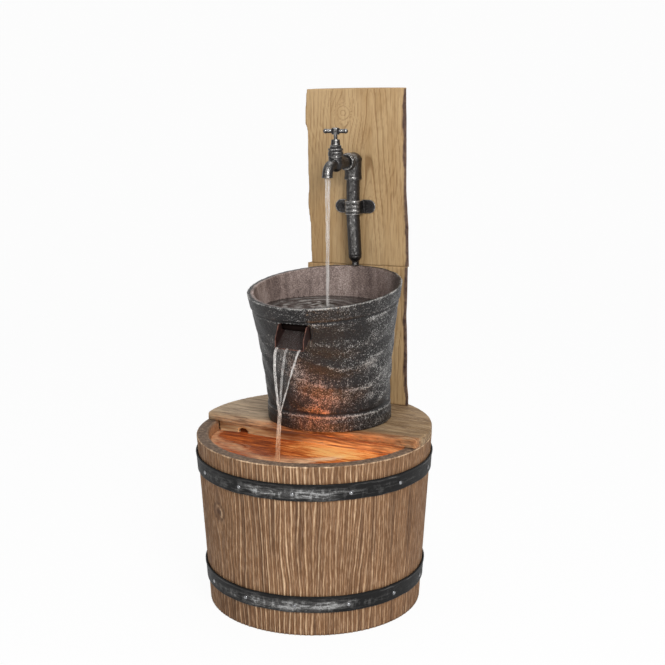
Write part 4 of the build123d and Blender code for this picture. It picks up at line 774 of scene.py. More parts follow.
def copper_finish(settings):
    """Aged copper: dark red-brown faces and bright worn edges."""
    finish, tree, shader = start_finish("aged_copper")
    patches = speckle(tree, place(tree), 120.0, 5.0, 0.65, 0.5)
    edges = levels(tree, mark(tree, "wear_and_painted_light"), 0.5, 1.15)
    wear_and_painted_light = plus(tree, edges, levels(tree, patches, 0.44, 0.7, -0.35, 0.3))
    reds = (0.0, settings.patina), (0.4, shade(78, 48, 40)), (1.0, settings.copper)
    rough = levels(tree, wear_and_painted_light, 0.0, 1.0, 0.5, 0.36)
    coat(tree, shader, ramp(tree, wear_and_painted_light, *reds), rough, metallic=0.35)
    bump(tree, shader, patches, 0.0006, 0.6)
    return finish


def plain_finish(name, colours, scale, rough, metallic=0.0, depth=0.0002, stretch=(1, 1, 1)):
    """A workaday finish: two close colours in fine mottling, with a little texture."""
    finish, tree, shader = start_finish(name)
    dark, light = colours
    spot = place(tree, stretch)
    fine = speckle(tree, spot, scale, 4.0, 0.6)
    broad = speckle(tree, spot, scale / 9, 3.0, 0.6)
    mottled = plus(tree, times(tree, fine, 0.6), times(tree, broad, 0.4))
    colour = ramp(tree, mottled, (0.36, shade(*dark)), (0.62, shade(*light)))
    sheen = levels(tree, fine, 0.3, 0.7, rough + 0.08, rough - 0.08)
    coat(tree, shader, colour, sheen, metallic=metallic)
    bump(tree, shader, fine, depth, 0.6)
    return finish


def lens_finish(settings):
    """Amber dome, lit from inside and mottled by its frosting."""
    finish, tree, shader = start_finish("amber_lens")
    frost = speckle(tree, place(tree), 300.0, 3.0, 0.6)
    amber = ramp(tree, frost, (0.3, shade(255, 150, 60)), (0.7, settings.glow))
    rough = levels(tree, frost, 0.3, 0.7, 0.3, 0.16)
    coat(tree, shader, amber, rough, glow=settings.glow, glow_strength=3.0)
    bump(tree, shader, frost, 0.0002, 0.5)
    return finish


def let_light_through(tree, shader):
    """Keeps a water skin from throwing a dark shadow."""
    passing = tree.nodes.new("ShaderNodeBsdfTransparent")
    rays = tree.nodes.new("ShaderNodeLightPath")
    cover(tree, rays.outputs["Is Shadow Ray"], shader, passing)


def pool_finish(settings):
    """Dark water in the pail: pale foam where the tap lands, painted pale reflections on the
    ripples round it, and painted shade at the chute.
    """
    finish, tree, shader = start_finish("pail_water")
    swirl = speckle(tree, place(tree), 46.0, 4.0, 0.6, 1.0)
    # Painted reflections: pale on the ripples round the tap.
    stir_foam_and_glints = times(tree, mark(tree, "stir_foam_and_glints"), levels(tree, swirl, 0.40, 0.62))
    weir = mark(tree, "weir")
    colour = blend(tree, stir_foam_and_glints, settings.pool, shade(186, 184, 180))
    # Painted shade: near black where the water meets the chute.
    colour = blend(tree, weir, colour, shade(24, 17, 15))
    coat(tree, shader, colour, levels(tree, weir, 0.0, 1.0, 0.1, 0.7), ior=WATER_IOR)
    gloss = levels(tree, weir, 0.0, 1.0, 0.3, 0.02)
    fill(tree, shader.inputs["Specular IOR Level"], gloss)
    bump(tree, shader, swirl, 0.002, 0.5)
    let_light_through(tree, shader)
    return finish


def basin_finish(settings):
    """Water under painted amber lamp light: amber streaks over red-brown depths, foam brighter on
    the lamp's side, and a faint painted glow.
    """
    finish, tree, shader = start_finish("basin_water")
    streaks = speckle(tree, place(tree, (0.13, 1, 1)), 150.0, 5.0, 0.66, 0.5)
    curls = speckle(tree, place(tree, (0.5, 1, 1)), 90.0, 4.0, 0.6, 1.2)
    lit = plus(tree, mark(tree, "lit"), levels(tree, streaks, 0.34, 0.66, -0.42, 0.42))
    water = ramp(
        tree, lit, (0.0, settings.depths), (0.45, shade(190, 98, 46)),
        (0.72, settings.basin), (1.0, shade(255, 196, 120)),
    )
    foam = times(tree, mark(tree, "foam"), levels(tree, curls, 0.36, 0.6, 0.35, 1.0))
    # Painted lamp light: the foam is brighter on the right, by the lamp.
    lamp_lit_froth = ramp(tree, axis_of(tree, "X"), (0.0, shade(214, 166, 126)), (0.05, settings.foam))
    colour = blend(tree, foam, water, lamp_lit_froth)
    rough = levels(tree, foam, 0.0, 1.0, 0.24, 0.5)
    # Painted glow: the water gives off a little of its own colour.
    coat(tree, shader, colour, rough, glow_strength=0.12, ior=WATER_IOR, specular=0.1)
    fill(tree, shader.inputs["Emission Color"], water)
    bump(tree, shader, plus(tree, streaks, curls), 0.0016, 0.6)
    let_light_through(tree, shader)
    return finish


def stream_finish(name, settings, clear, white):
    """Falling water: clear in the middle and white in drawn-out streaks, with a painted sheen that
    whitens it where it turns away and painted amber lamp light low down.
    """
    finish, tree, shader = start_finish(name)
    streaks = speckle(tree, place(tree, (1, 1, 0.04)), 620.0, 3.0, 0.62, 0.3)
    beads = speckle(tree, place(tree, (1, 1, 0.3)), 150.0, 3.0, 0.6)
    broken = plus(tree, streaks, times(tree, beads, 0.4))
    body = levels(tree, broken, 0.58, 0.86, clear, white)
    # Painted lamp light: amber low down, near the lamp.
    low = levels(tree, axis_of(tree, "Z"), 0.40, 0.33)
    colour = blend(tree, low, settings.stream, shade(246, 196, 154), "MULTIPLY")
    # Painted sheen: whiter where the surface turns away.
    rim = add(tree, "ShaderNodeLayerWeight", {"Blend": 0.35}).outputs["Facing"]
    edge = times(tree, levels(tree, rim, 0.45, 0.95), white)
    body = times(tree, sums(tree, "MAXIMUM", body, edge), mark(tree, "body"))
    coat(tree, shader, colour, 0.12, ior=WATER_IOR)
    fill(tree, shader.inputs["Alpha"], body)
    bump(tree, shader, streaks, 0.0006, 0.6)
    return finish


# -------------------------------------------------------------------- barrel
def barrel_r(z):
    """The barrel's outer radius at a height."""
    return BASE_R + (RIM_R - BASE_R) * z / BARREL_HEIGHT


def barrel_outline():
    """The barrel's section from its foot up, over the rim, down inside and underneath.

    Each row is a radius, a height, the way into the wood (in, down), the share of the
    grain's depth, and how far it is rim top and worn edge.
    """
    outline = []
    for z in np.arange(0.0, BARREL_HEIGHT - RIM_ROUND, 0.0045):
        outline.append((barrel_r(z), z, -1, 0, 1.0, 0, 0))
    for angle in np.linspace(0, math.pi / 2, 6):
        across, up = math.cos(angle), math.sin(angle)
        radius = RIM_R - RIM_ROUND * (1 - across)
        height = BARREL_HEIGHT - RIM_ROUND * (1 - up)
        edge = math.sin(2 * angle)
        outline.append((radius, height, -across, -up, 1 - 0.6 * up, up ** 6, edge))
    inner_rim = RIM_R - BARREL_WALL
    for share in (0.1, 0.3, 0.5, 0.7, 0.9):
        radius = RIM_R - RIM_ROUND + (inner_rim - RIM_R + 2 * RIM_ROUND) * share
        outline.append((radius, BARREL_HEIGHT, 0, -1, 0.12, 1, 0))
    for angle in np.linspace(math.pi / 2, 0, 4):
        across, up = math.cos(angle), math.sin(angle)
        radius = inner_rim + RIM_ROUND * (1 - across)
        height = BARREL_HEIGHT - RIM_ROUND * (1 - up)
        edge = 0.4 * math.sin(2 * angle)
        outline.append((radius, height, across, -up, 0.15, 0.8, edge))
    for z in np.linspace(BARREL_HEIGHT - 0.012, BARREL_FLOOR, 15):
        outline.append((barrel_r(z) - BARREL_WALL, z, 1, 0, 0.4, 0.4, 0))
    floor_r = barrel_r(BARREL_FLOOR) - BARREL_WALL
    for share in (0.8, 0.55, 0.3, 0.06):
        outline.append((floor_r * share, BARREL_FLOOR, 0, -1, 0.1, 0.5, 0))
    for share in (0.06, 0.5, 1.0):
        outline.append((FOOT_RECESS_R * share, FOOT_RECESS, 0, 1, 0.0, 0.5, 0))
    outline.append((FOOT_RECESS_R, 0.0, 0, 1, 0.0, 0.5, 0))
    outline.append(((FOOT_RECESS_R + BASE_R) / 2, 0.0, 0, 1, 0.0, 0.5, 0))
    return np.array(outline)


def barrel_grain(angle, height, settings):
    """How far below its ridges the grain lies, from 0 to 1, and the share of dark stain and painted
    shade.
    """
    pitch = settings.pitch
    ring = on_ring(GRAIN_R, angle, height)
    lines = angle / TURN * round(TURN * GRAIN_R / pitch)
    lines = lines + 0.75 * cloud(ring, (0.05, 0.05, 0.3), 3)
    lines = lines + 0.32 * cloud(ring, (0.016, 0.016, 0.08), 5)
    lines = lines + 0.06 * cloud(ring, (0.006, 0.006, 0.016), 7)

    # The lines part round the knot.
    across = from_angle(angle, BARREL_KNOT[0]) * GRAIN_R
    along = height - BARREL_KNOT[1]
    near = bell(across, 0, 0.038) * bell(along, 0, 0.045)
    lines = lines - 1.6 * near * np.tanh(across / 0.010)

    # A bold ridge on every line, a minor one between two, and fine ones all over. The ridges are
    # boldest on the front and back.
    gap = np.abs(lines - np.floor(lines + 0.5)) * pitch
    bold = mixed(np.cos(2 * (angle + math.radians(72))))
    strength = (0.34 + 0.66 * bold) * (0.82 + 0.26 * cloud(ring, (0.012, 0.012, 0.13), 11))
    ridge = bell(gap, 0, 0.00145) * strength
    minor = bell(gap, pitch / 2, 0.0009) * (0.14 + 0.26 * cloud(ring, (0.010, 0.010, 0.09), 13))
    fine = 0.24 * ridges(lines * 4) ** 2 * (0.6 + 0.4 * cloud(ring, (0.02, 0.02, 0.1), 15))
    raised = np.clip(ridge + minor + fine, 0, 1)
    furrow = ease(cloud(ring, (0.011, 0.011, 0.19), 17), 0.38, 0.72)
    dark = 0.8 * bell(gap, 0.0027, 0.0008) * strength
    # Painted shade: the grain darkens between the ridges on the flanks, left and right of the
    # front, where bold is low.
    dark = dark + (0.55 * furrow + 0.28 * (1 - bold)) * (1 - raised)

    # The knot's eye, with a crescent on its upper side and a dark core.
    reach = np.hypot(across / 0.0140, along / 0.0128)
    eye = ease(reach, 1.3, 1.0)
    crescent = bell(reach, 0.78, 0.17) * ease(along + across * 1.2, -0.004, 0.003)
    raised = raised * (1 - eye) + crescent * eye
    core = ease(reach, 0.6, 0.3) + 0.8 * bell(reach, 1.15, 0.14)
    dark = dark * (1 - eye) + 0.35 * eye * (1 - crescent) + core
    return 1 - raised, np.clip(dark, 0, 1)


def barrel_faces(outline, columns):
    """Quads all over the section, with the floor and the underside closed to a middle."""
    rows = len(outline)
    floor = next(
        row for row in range(rows) if outline[row][0] < 0.06 * BASE_R and outline[row][3] < 0
    )
    faces = [
        face for face in ring_faces(rows, columns) + closing_faces(rows, columns)
        if not (face[0] // columns == floor and face[2] // columns == floor + 1)
    ]
    middle, above, below = rows * columns, floor * columns, (floor + 1) * columns
    for column in range(columns):
        side = (column + 1) % columns
        faces.append((above + column, above + side, middle))
        faces.append((below + side, below + column, middle + 1))
    return faces


def build_barrel(settings):
    """The carved shell, cut for the cable's bush and the drain."""
    outline = barrel_outline()
    rows, columns = len(outline), settings.columns
    angle = np.tile(full_turn(columns), rows)
    radius, height, inward, down, share, top, edge = np.repeat(outline, columns, axis=0).T
    grain, dark = barrel_grain(angle, height, settings)
    depth = settings.groove * (grain + 0.25 * dark) * share
    points = on_ring(radius + inward * depth, angle, height + down * depth)
    chipped = 0.5 + 0.9 * layered(points, (0.008, 0.008, 0.02), 19) + 0.3 * (1 - grain)
    middles = [(0, 0, BARREL_FLOOR), (0, 0, FOOT_RECESS)]
    mesh = build_mesh("barrel_skin", np.vstack([points, middles]), barrel_faces(outline, columns))
    for name, values in (
        ("groove", grain * np.clip(share + 0.3, 0, 1)),
        ("dark", dark * share),
        ("top", top),
        ("edge", edge * np.clip(chipped, 0, 1)),
    ):
        write_mark(mesh, name, np.append(values, (0.5, 0.5)))

    half, deep = GROMMET_SIZE[0] / 2, GROMMET_SIZE[1]
    outside = RIM_R + 0.04
    notch = box_cutter(
        (GROMMET_X - half, 0.02, BARREL_HEIGHT - deep),
        (GROMMET_X + half, outside, BARREL_HEIGHT + 0.01),
    )
    face = barrel_r(DRAIN_Z) - DRAIN_SPOT_DEPTH
    hole = round_cutter(DRAIN_HOLE_R, (0, 0.12, DRAIN_Z), (0, outside, DRAIN_Z))
    spot = round_cutter(DRAIN_SPOT_R, (0, face, DRAIN_Z), (0, outside, DRAIN_Z))
    return cut_away(mesh, notch, hole, spot)


class FOUNTAIN_OT_barrel(bpy.types.Operator):
    """Build the barrel from carved staves"""
    bl_idname = "fountain.barrel"
    bl_label = "Barrel"

    def execute(self, context):
        settings = context.scene.fountain_barrel
        mesh = build_barrel(settings)
        barrel = place_piece("carved_barrel", mesh, "basin", barrel_finish(settings))
        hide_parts("barrel_tub")
        return {"FINISHED"}


# --------------------------------------------------------------------- hoops
def hoop_outline():
    """The hoop's section: share of its thickness, height above its foot, share of its bead."""
    bead = HOOP_HEIGHT - HOOP_BEAD_HEIGHT
    outline = [(0.0, 0.0, 0.0), (0.5, 0.0, 0.0), (1.0, 0.0003, 0.0)]
    outline += [(1.0, 0.0012 * (step + 1), 0.0) for step in range(20)]
    outline += [(1.0, bead, 0.0), (1.0, bead + 0.001, 1.0), (1.0, bead + 0.0028, 1.0)]
    outline += [(1.0, HOOP_HEIGHT, 1.0), (0.5, HOOP_HEIGHT, 0.5), (0.0, HOOP_HEIGHT, 0.0)]
    return outline


def hoop_rub_and_sheen(ring, angle, rise, seed):
    """Where the hoop is brushed bright: patches, dabs and a line below its bead, with a painted
    sheen where the patches gather on the front and back.
    """
    strip = rows_of(angle * GRAIN_R, 0, rise)
    brushed = ease(layered(strip, (0.030, 1, 0.0024), seed + 9), -0.15, 0.5)
    dabs = ease(layered(strip, (0.005, 1, 0.010), seed + 11), 0.0, 0.5)
    # Painted sheen: the rubbed patches gather on the front and back, where bright peaks.
    bright = mixed(np.cos(2 * (angle + math.radians(76))))
    patch = ease(bright + 0.3 * layered(ring, (0.05, 0.05, 0.02), seed + 13, 2), 0.62, 1.0)
    middle = bell(rise, 0.0115, 0.0085)
    below_bead = bell(rise, HOOP_HEIGHT - HOOP_BEAD_HEIGHT + 0.0006, 0.0009)
    rub_and_sheen = middle * patch * (0.36 + 0.55 * brushed + 0.4 * dabs)
    rub_and_sheen = rub_and_sheen + (0.04 + 0.3 * bright) * middle * (brushed + dabs)
    rub_and_sheen = rub_and_sheen + below_bead * (0.15 + 0.5 * (1 - bright)) * brushed + 0.25 * ease(rise, 0.0012, 0.0)
    return np.clip(rub_and_sheen, 0, 1)


def build_hoop(level, settings, seed):
    """An iron band with hammer marks, a bead at its top and a lap at the rear."""
    columns = HOOP_COLUMNS
    outline = hoop_outline()
    rows = len(outline)
    out, rise, beaded = np.repeat(np.array(outline), columns, axis=0).T
    angle = np.tile(full_turn(columns), rows)
    ring = on_ring(GRAIN_R, angle, rise)
    lap = ease(np.abs(from_angle(angle, LAP_MIDDLE)), LAP_HALF + 0.004, LAP_HALF)
    lap = lap * (rise <= HOOP_HEIGHT - HOOP_BEAD_HEIGHT)
    dents = mixed(layered(ring, (0.016, 0.016, 0.011), seed))
    thick = out * (HOOP_THICK + beaded * HOOP_BEAD + lap * LAP_THICK - settings.dent * dents)
    waver = 0.0007 * cloud(ring * (1, 1, 0), (0.022, 0.022, 1), seed + 5)
    height = level + np.clip(rise + waver, 0, HOOP_HEIGHT)
    points = on_ring(barrel_r(height) + thick, angle, height)
    mesh = build_mesh("hoop_skin", points, ring_faces(rows, columns) + closing_faces(rows, columns))
    write_mark(mesh, "rub_and_sheen", hoop_rub_and_sheen(ring, angle, rise, seed))
    return mesh


class FOUNTAIN_OT_hoops(bpy.types.Operator):
    """Bind the barrel with two hammered hoops and their rivets"""
    bl_idname = "fountain.hoops"
    bl_label = "Hoops"

    def execute(self, context):
        settings = context.scene.fountain_hoops
        finish = hoop_finish(settings)
        for seed, (node, level) in enumerate(HOOP_LEVELS.items()):
            mesh = build_hoop(level, settings, 20 + 10 * seed)
            hoop = place_piece("hammered_" + node, mesh, "basin", finish)
            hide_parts(node)
        silver = plain_finish("dull_silver", ((104, 104, 106), (168, 168, 170)), 420.0, 0.26, 0.85)
        dress(silver, "hoop_rivets")
        return {"FINISHED"}


# ---------------------------------------------------------------------- deck
def board_grain(points, pitch, seed):
    """Grain that runs along x, from 0 on the wood to 1 in its lines."""
    lines = points[:, 1] / pitch + points[:, 2] / (pitch * 1.7)
    lines = lines + 1.3 * cloud(points, (0.17, 0.034, 0.05), seed)
    lines = lines + 0.6 * cloud(points, (0.05, 0.012, 0.02), seed + 1)
    broken = mixed(cloud(points, (0.045, 0.008, 0.02), seed + 2))
    return ease(ridges(lines), 0.45, 1.0) * broken + 0.35 * ease(ridges(lines * 2.7), 0.6, 1.0)


def build_deck(settings):
    """The half-moon board: grain, a splintered front edge, a lump at its right corner and a mark
    for the painted lamp light on its front edge.
    """
    deck = even_skin("deck_board", BOARD_SKIN)
    points, normals = read_points(deck), read_normals(deck)
    x, front = points[:, 0], points[:, 1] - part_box("deck_board")[0].y
    fan = points.copy()
    fan[:, 1] += ease(x, 0.02, 0.15) * (x - 0.02) * 0.32
    grain = board_grain(fan, 0.0078, 31)
    worn = 0.6 + 0.4 * cloud(points, (0.08, 0.03, 0.03), 33)
    splinters = mixed(layered(points, (0.016, 0.006, 0.006), 37))
    corner = bell(x, 0.190, 0.014) * bell(front, 0.008, 0.011)
    lump = corner * ease(normals[:, 2], 0.2, 0.8) * (0.7 + 0.5 * layered(points, 0.007, 39))
    depth = settings.groove * (grain * worn + 0.35 * mixed(layered(points, 0.02, 35)))
    depth = depth + 0.0018 * ease(front, 0.009, 0.0) * splinters - 0.0042 * lump
    carve(deck, depth)
    write_mark(deck, "groove", grain * worn)
    # Painted lamp light along the front edge, strongest towards the right and weaker at the corner
    # lump.
    lamp_glow_edge = ease(front, 0.026, 0.003) * (0.8 + 0.2 * ease(x, -0.12, 0.02))
    lamp_glow_edge = lamp_glow_edge * (0.65 + 0.45 * layered(points, (0.05, 0.012, 0.02), 43))
    write_mark(deck, "lamp_glow_edge", np.clip(lamp_glow_edge * (1 - 0.7 * corner), 0, 1))
    return deck


def build_apron(settings):
    """The upright board, with its grain and the mark that paints shade into its notch."""
    apron = even_skin("deck_apron", BOARD_SKIN)
    points = read_points(apron)
    grain = board_grain(points[:, [0, 2, 1]], 0.0075, 41)
    carve(apron, settings.groove * grain)
    write_mark(apron, "groove", grain)
    gap = np.hypot(points[:, 0] - NOTCH[0], points[:, 2] - NOTCH[1])
    write_mark(apron, "notch_shade", ease(gap, 0.0075, 0.0055))
    return apron


class FOUNTAIN_OT_deck(bpy.types.Operator):
    """Build the half-moon deck and the upright board under its front edge"""
    bl_idname = "fountain.deck"
    bl_label = "Deck"

    def execute(self, context):
        settings = context.scene.fountain_deck
        deck, apron = build_deck(settings), build_apron(settings)
        finish = deck_finish(settings)
        board = place_piece("weathered_deck", deck, "top_unit", finish)
        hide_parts("deck_board")
        finish = apron_finish(settings)
        upright = place_piece("wet_apron", apron, "top_unit", finish)
        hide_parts("deck_apron")
        return {"FINISHED"}


# ---------------------------------------------------------------------- pail
def pail_section(share):
    """The way a section faces and its middle, at shares of the pail's height."""
    lean, side = PAIL_TILT * share, PAIL_SIDE_TILT * share
    normal = rows_of(np.sin(side), -np.sin(lean) * np.cos(side), np.cos(lean) * np.cos(side))
    return normal, PAIL_BASE + (PAIL_TOP - PAIL_BASE) * share[:, None]


def pail_frame(points):
    """Share of the pail's height, angle and radius of points, on its own axis."""
    tall = PAIL_TOP[2] - PAIL_BASE[2]
    share = np.clip((points[:, 2] - PAIL_BASE[2]) / tall, -0.1, 1.1)
    for _ in range(4):
        normal, middle = pail_section(share)
        share = share + np.einsum("ij,ij->i", points - middle, normal) / tall
    gap = points - pail_section(share)[1]
    return share, np.arctan2(gap[:, 1], gap[:, 0]), np.linalg.norm(gap, axis=1)


def pail_r(share):
    """The pail's outer radius at a share of its height, without its bands."""
    return PAIL_BASE_R + (PAIL_RIM_R - PAIL_BASE_R) * np.clip(share, 0, 1.1) ** PAIL_FLARE


def pail_lamp_glow(share, angle, ring):
    """Painted amber lamp light low on the front, strongest above the foot band."""
    heights = (0.05, 0.12, 0.25, 0.40, 0.55)
    middle = np.interp(share, heights, np.radians((-79, -77, -73, -74, -84)))
    width = np.interp(share, (0.0, 0.2, 0.6), (0.42, 0.36, 0.22))
    heights = (0.0, 0.09, 0.12, 0.2, 0.32, 0.5, 0.66)
    band = np.interp(share, heights, (0.5, 0.7, 0.7, 0.62, 0.45, 0.34, 0.0))
    turned = from_angle(angle, middle)
    glow = bell(turned, 0, width) * band * (0.85 + 0.4 * layered(ring, 0.03, 59))
    glow = glow + 0.55 * bell(turned, 0.06, 0.15) * bell(share, 0.165, 0.04)
    return glow + 0.15 * bell(turned, 0, 0.7) * ease(share, 0.55, 0.2)


def pail_lines(share, angle, ring):
    """Silver lines along the edges of the foot band and the rim band: dry-brushed, with a painted
    highlight that is strongest on the front.
    """
    ragged = cloud(ring, (0.012, 0.012, 0.02), 61) * 0.006
    front_highlight = mixed(np.cos(angle + 1.2))
    foot = bell(share - ragged, FOOT_LINE - 0.004, 0.0065) * (0.9 + 0.7 * front_highlight)
    foot = foot * (0.75 + 0.5 * cloud(ring, 0.008, 63))
    rim = 0.3 * bell(share, RIM_LINE + 0.006, 0.006) + 0.42 * bell(share, RIM_LINE - 0.030, 0.006)
    rim = rim * (0.55 + 0.5 * cloud(ring, (0.03, 0.03, 0.03), 65))
    return 0.8 * foot + rim


def pail_shadow(share, angle, ring):
    """Painted shade: the left flank, the front below the chute and under the bands."""
    shadow = bell(angle, -2.12, 0.26) * (0.5 + 0.5 * ease(share, 0.6, 0.4))
    shadow = shadow + 0.3 * bell(angle, -1.22, 0.24) * bell(share, 0.56, 0.09)
    shadow = shadow + 0.8 * bell(share, FOOT_LINE + 0.018, 0.012)
    shadow = shadow + 0.6 * bell(share, 0.18, 0.035) * ease(layered(ring, 0.03, 71), -0.2, 0.4)
    return shadow + 0.5 * bell(share, RIM_LINE - 0.013, 0.008)


def build_pail(settings):
    """The pail with its folds, raised foot band and stipple, and the marks of its finish, which
    hold painted lamp light, painted highlights and painted shade.
    """
    mesh = even_skin("bucket", PAIL_SKIN)
    points = read_points(mesh)
    share, angle, radius = pail_frame(points)
    off = radius - pail_r(share)
    outside = ease(off, -0.0055, -0.003)
    inside = ease(share, PAIL_FLOOR_SHARE - 0.07, PAIL_FLOOR_SHARE - 0.05)
    inside = inside * ease(off, -0.005, -0.0075)
    body = ease(share, FOOT_LINE, FOOT_LINE + 0.03) * ease(share, RIM_LINE, RIM_LINE - 0.03)
    lower = 0.3 + 0.7 * ease(share, 0.82, 0.45)
    ring = on_ring(0.12, angle, share * 0.24)

    # Broad folds that sag to one side, and a crease next to each band.
    sag = 0.09 * (1 - np.cos(angle + 0.8))
    sweep = share * 0.24 - sag + 0.011 * layered(ring, (0.05, 0.05, 0.04), 51)
    waver = 0.9 * cloud(ring, (0.05, 0.05, 0.05), 53)
    folds = mixed(np.sin(TURN * sweep / 0.044 + waver))
    creases = 0.0013 * bell(share, RIM_LINE - 0.012, 0.009)
    creases = creases + 0.0014 * bell(share, FOOT_LINE + 0.014, 0.009)
    depth = outside * (settings.fold * folds * lower * body + creases) * ease(share, 1.01, 0.985)
    depth = depth + 0.0006 * (1 + layered(ring, 0.02, 57))
    foot = ease(share, FOOT_LINE + 0.008, FOOT_LINE - 0.002) * outside
    foot = foot * ease(share, BASE_BAND - 0.02, BASE_BAND)
    depth = depth * (1 - foot) + off * foot
    stipple = mixed(layered(points, 0.0048, 55, 2))
    carve(mesh, depth + settings.stipple * stipple * (1 - 0.4 * inside))

    glow = pail_lamp_glow(share, angle, ring)
    # Dry-brushed silver on the fold crests, brightest on the right front as a painted highlight.
    torn = ease(layered(ring, (0.022, 0.022, 0.007), 67), -0.2, 0.45)
    crest = bell(folds, 0, 0.16) * torn * body
    crest = crest * (0.4 + 0.6 * ease(np.cos(angle + 0.55), 0.5, 0.9))
    patch = 0.5 * layered(ring, (0.045, 0.045, 0.03), 69)
    lip = ease(share, 0.980, 0.994) * ease(off, -0.0028, -0.0008)
    lip = lip * (0.7 + 0.45 * cloud(ring, 0.008, 72))
    # The mark sums dry-brushed silver, painted highlights and the lamp's painted light, less the
    # painted shade.
    wear_and_painted_light = 0.1 + patch * body + pail_lines(share, angle, ring) + 0.6 * crest * lower
    wear_and_painted_light = wear_and_painted_light - 0.8 * pail_shadow(share, angle, ring) * (1 - lip) + 0.12 * glow
    wear_and_painted_light = wear_and_painted_light - 0.1 * ease(share, RIM_LINE - 0.01, RIM_LINE + 0.01)
    # Painted shade on the front below the rim band.
    wear_and_painted_light = wear_and_painted_light - 0.4 * bell(share, 0.79, 0.07) * ease(np.cos(angle + 1.5), 0.2, 0.8)
    wear_and_painted_light = outside * wear_and_painted_light + lip - (1 - outside) * 0.1
    write_mark(mesh, "inside", inside)
    write_mark(mesh, "lamp_glow_low", np.clip(outside * glow, 0, 1))
    write_mark(mesh, "wear_and_painted_light", np.clip(wear_and_painted_light, -1, 1.4))
    return mesh


class FOUNTAIN_OT_pail(bpy.types.Operator):
    """Build the leaning pail with its bands, folds and sand-cast skin"""
    bl_idname = "fountain.pail"
    bl_label = "Pail"

    def execute(self, context):
        settings = context.scene.fountain_pail
        mesh = build_pail(settings)
        pail = place_piece("cast_pail", mesh, "top_unit", pail_finish(settings))
        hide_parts("bucket")
        return {"FINISHED"}


class FOUNTAIN_OT_chute(bpy.types.Operator):
    """Build the copper chute that goes through the pail's wall"""
    bl_idname = "fountain.chute"
    bl_label = "Chute"

    def execute(self, context):
        mesh = even_skin("spout_chute", CHUTE_SKIN)
        wear_and_painted_light = edge_wear(mesh, CHUTE_SKIN, 5)
        carve(mesh, 0.0004 * mixed(layered(read_points(mesh), 0.012, 73)))
        write_mark(mesh, "wear_and_painted_light", wear_and_painted_light)
        finish = copper_finish(context.scene.fountain_tap)
        chute = place_piece("copper_chute", mesh, "top_unit", finish)
        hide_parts("spout_chute")
        return {"FINISHED"}


# --------------------------------------------------------------------- posts
def post_lines(points, settings, seed, arch, knot):
    """Growth lines of a sawn face: 0 on the wood, 1 in a line.

    The lines arch round a middle, given as its place across, its height and its steepness.
    """
    x, z = points[:, 0], points[:, 2]
    face = rows_of(x, 0, z)
    wander = 0.9 * cloud(face, (0.05, 1, 0.16), seed)
    wander = wander + 0.35 * cloud(face, (0.018, 1, 0.06), seed + 1)
    off = x - arch[0]
    lines = np.hypot(off, 0.011) / settings.pitch + (z - arch[1]) / arch[2] + wander
    eye = 0
    if knot:
        across, along = x - knot[0], z - knot[1]
        reach = np.hypot(across, along)
        near = bell(reach, 0, 0.026)
        lines = lines - 1.4 * near * np.tanh(across / 0.006) * np.sign(off)
        eye = ease(reach, 0.0190, 0.0150)
        lines = lines * (1 - eye) + (reach / 0.0072 + 0.305) * eye
    broad = ease(ridges(lines), 0.68, 0.98) * (1 + 0.6 * eye)
    fine = ease(ridges(lines * 3.0 + wander), 0.6, 1.0) * (1 - 0.8 * eye)
    return np.clip(broad + 0.45 * fine, 0, 1.4)


def right_edge(points):
    """How far right the post reaches at each point's height."""
    level = np.floor((points[:, 2] - points[:, 2].min()) / 0.006).astype(int)
    reach = np.full(level.max() + 1, -1.0)
    np.maximum.at(reach, level, points[:, 0])
    return reach[level]


def build_post(node, settings, seed, arch, knot):
    """A half log: growth lines on its face, bark on its sides and a ragged right edge."""
    mesh = even_skin(node, BOARD_SKIN)
    points, normals = read_points(mesh), read_normals(mesh)
    face = ease(-normals[:, 1], 0.45, 0.85)
    sides = ease(np.abs(normals[:, 0]), 0.5, 0.8)
    back = ease(normals[:, 1], 0.3, 0.7)
    lines = post_lines(points, settings, seed, arch, knot)
    strength = 0.65 + 0.35 * cloud(points, (0.04, 0.04, 0.09), seed + 4)
    rough = layered(points, (0.011, 0.011, 0.03), seed + 6, 4)
    inset = right_edge(points) - points[:, 0] + 0.0045 * rough
    waney = face * ease(inset, 0.0075, 0.0045)
    bark = np.clip(sides * (0.85 + 0.5 * rough) + back * 0.55 + waney, 0, 1)
    depth = face * lines * strength * settings.groove + sides * 0.0016 * mixed(rough)
    depth = depth + back * 0.0012 * mixed(layered(points, (0.014, 0.014, 0.05), seed + 8))
    if knot:
        crack = bell(points[:, 0], POST_CRACK_X, 0.0009) * ease(points[:, 2], 0.80, 0.83)
        depth = depth + face * crack * 0.0012
        lines = np.clip(lines + crack, 0, 1)
    carve(mesh, depth)
    write_mark(mesh, "groove", face * lines * strength + (1 - face) * 0.25)
    write_mark(mesh, "bark", bark)
    return mesh


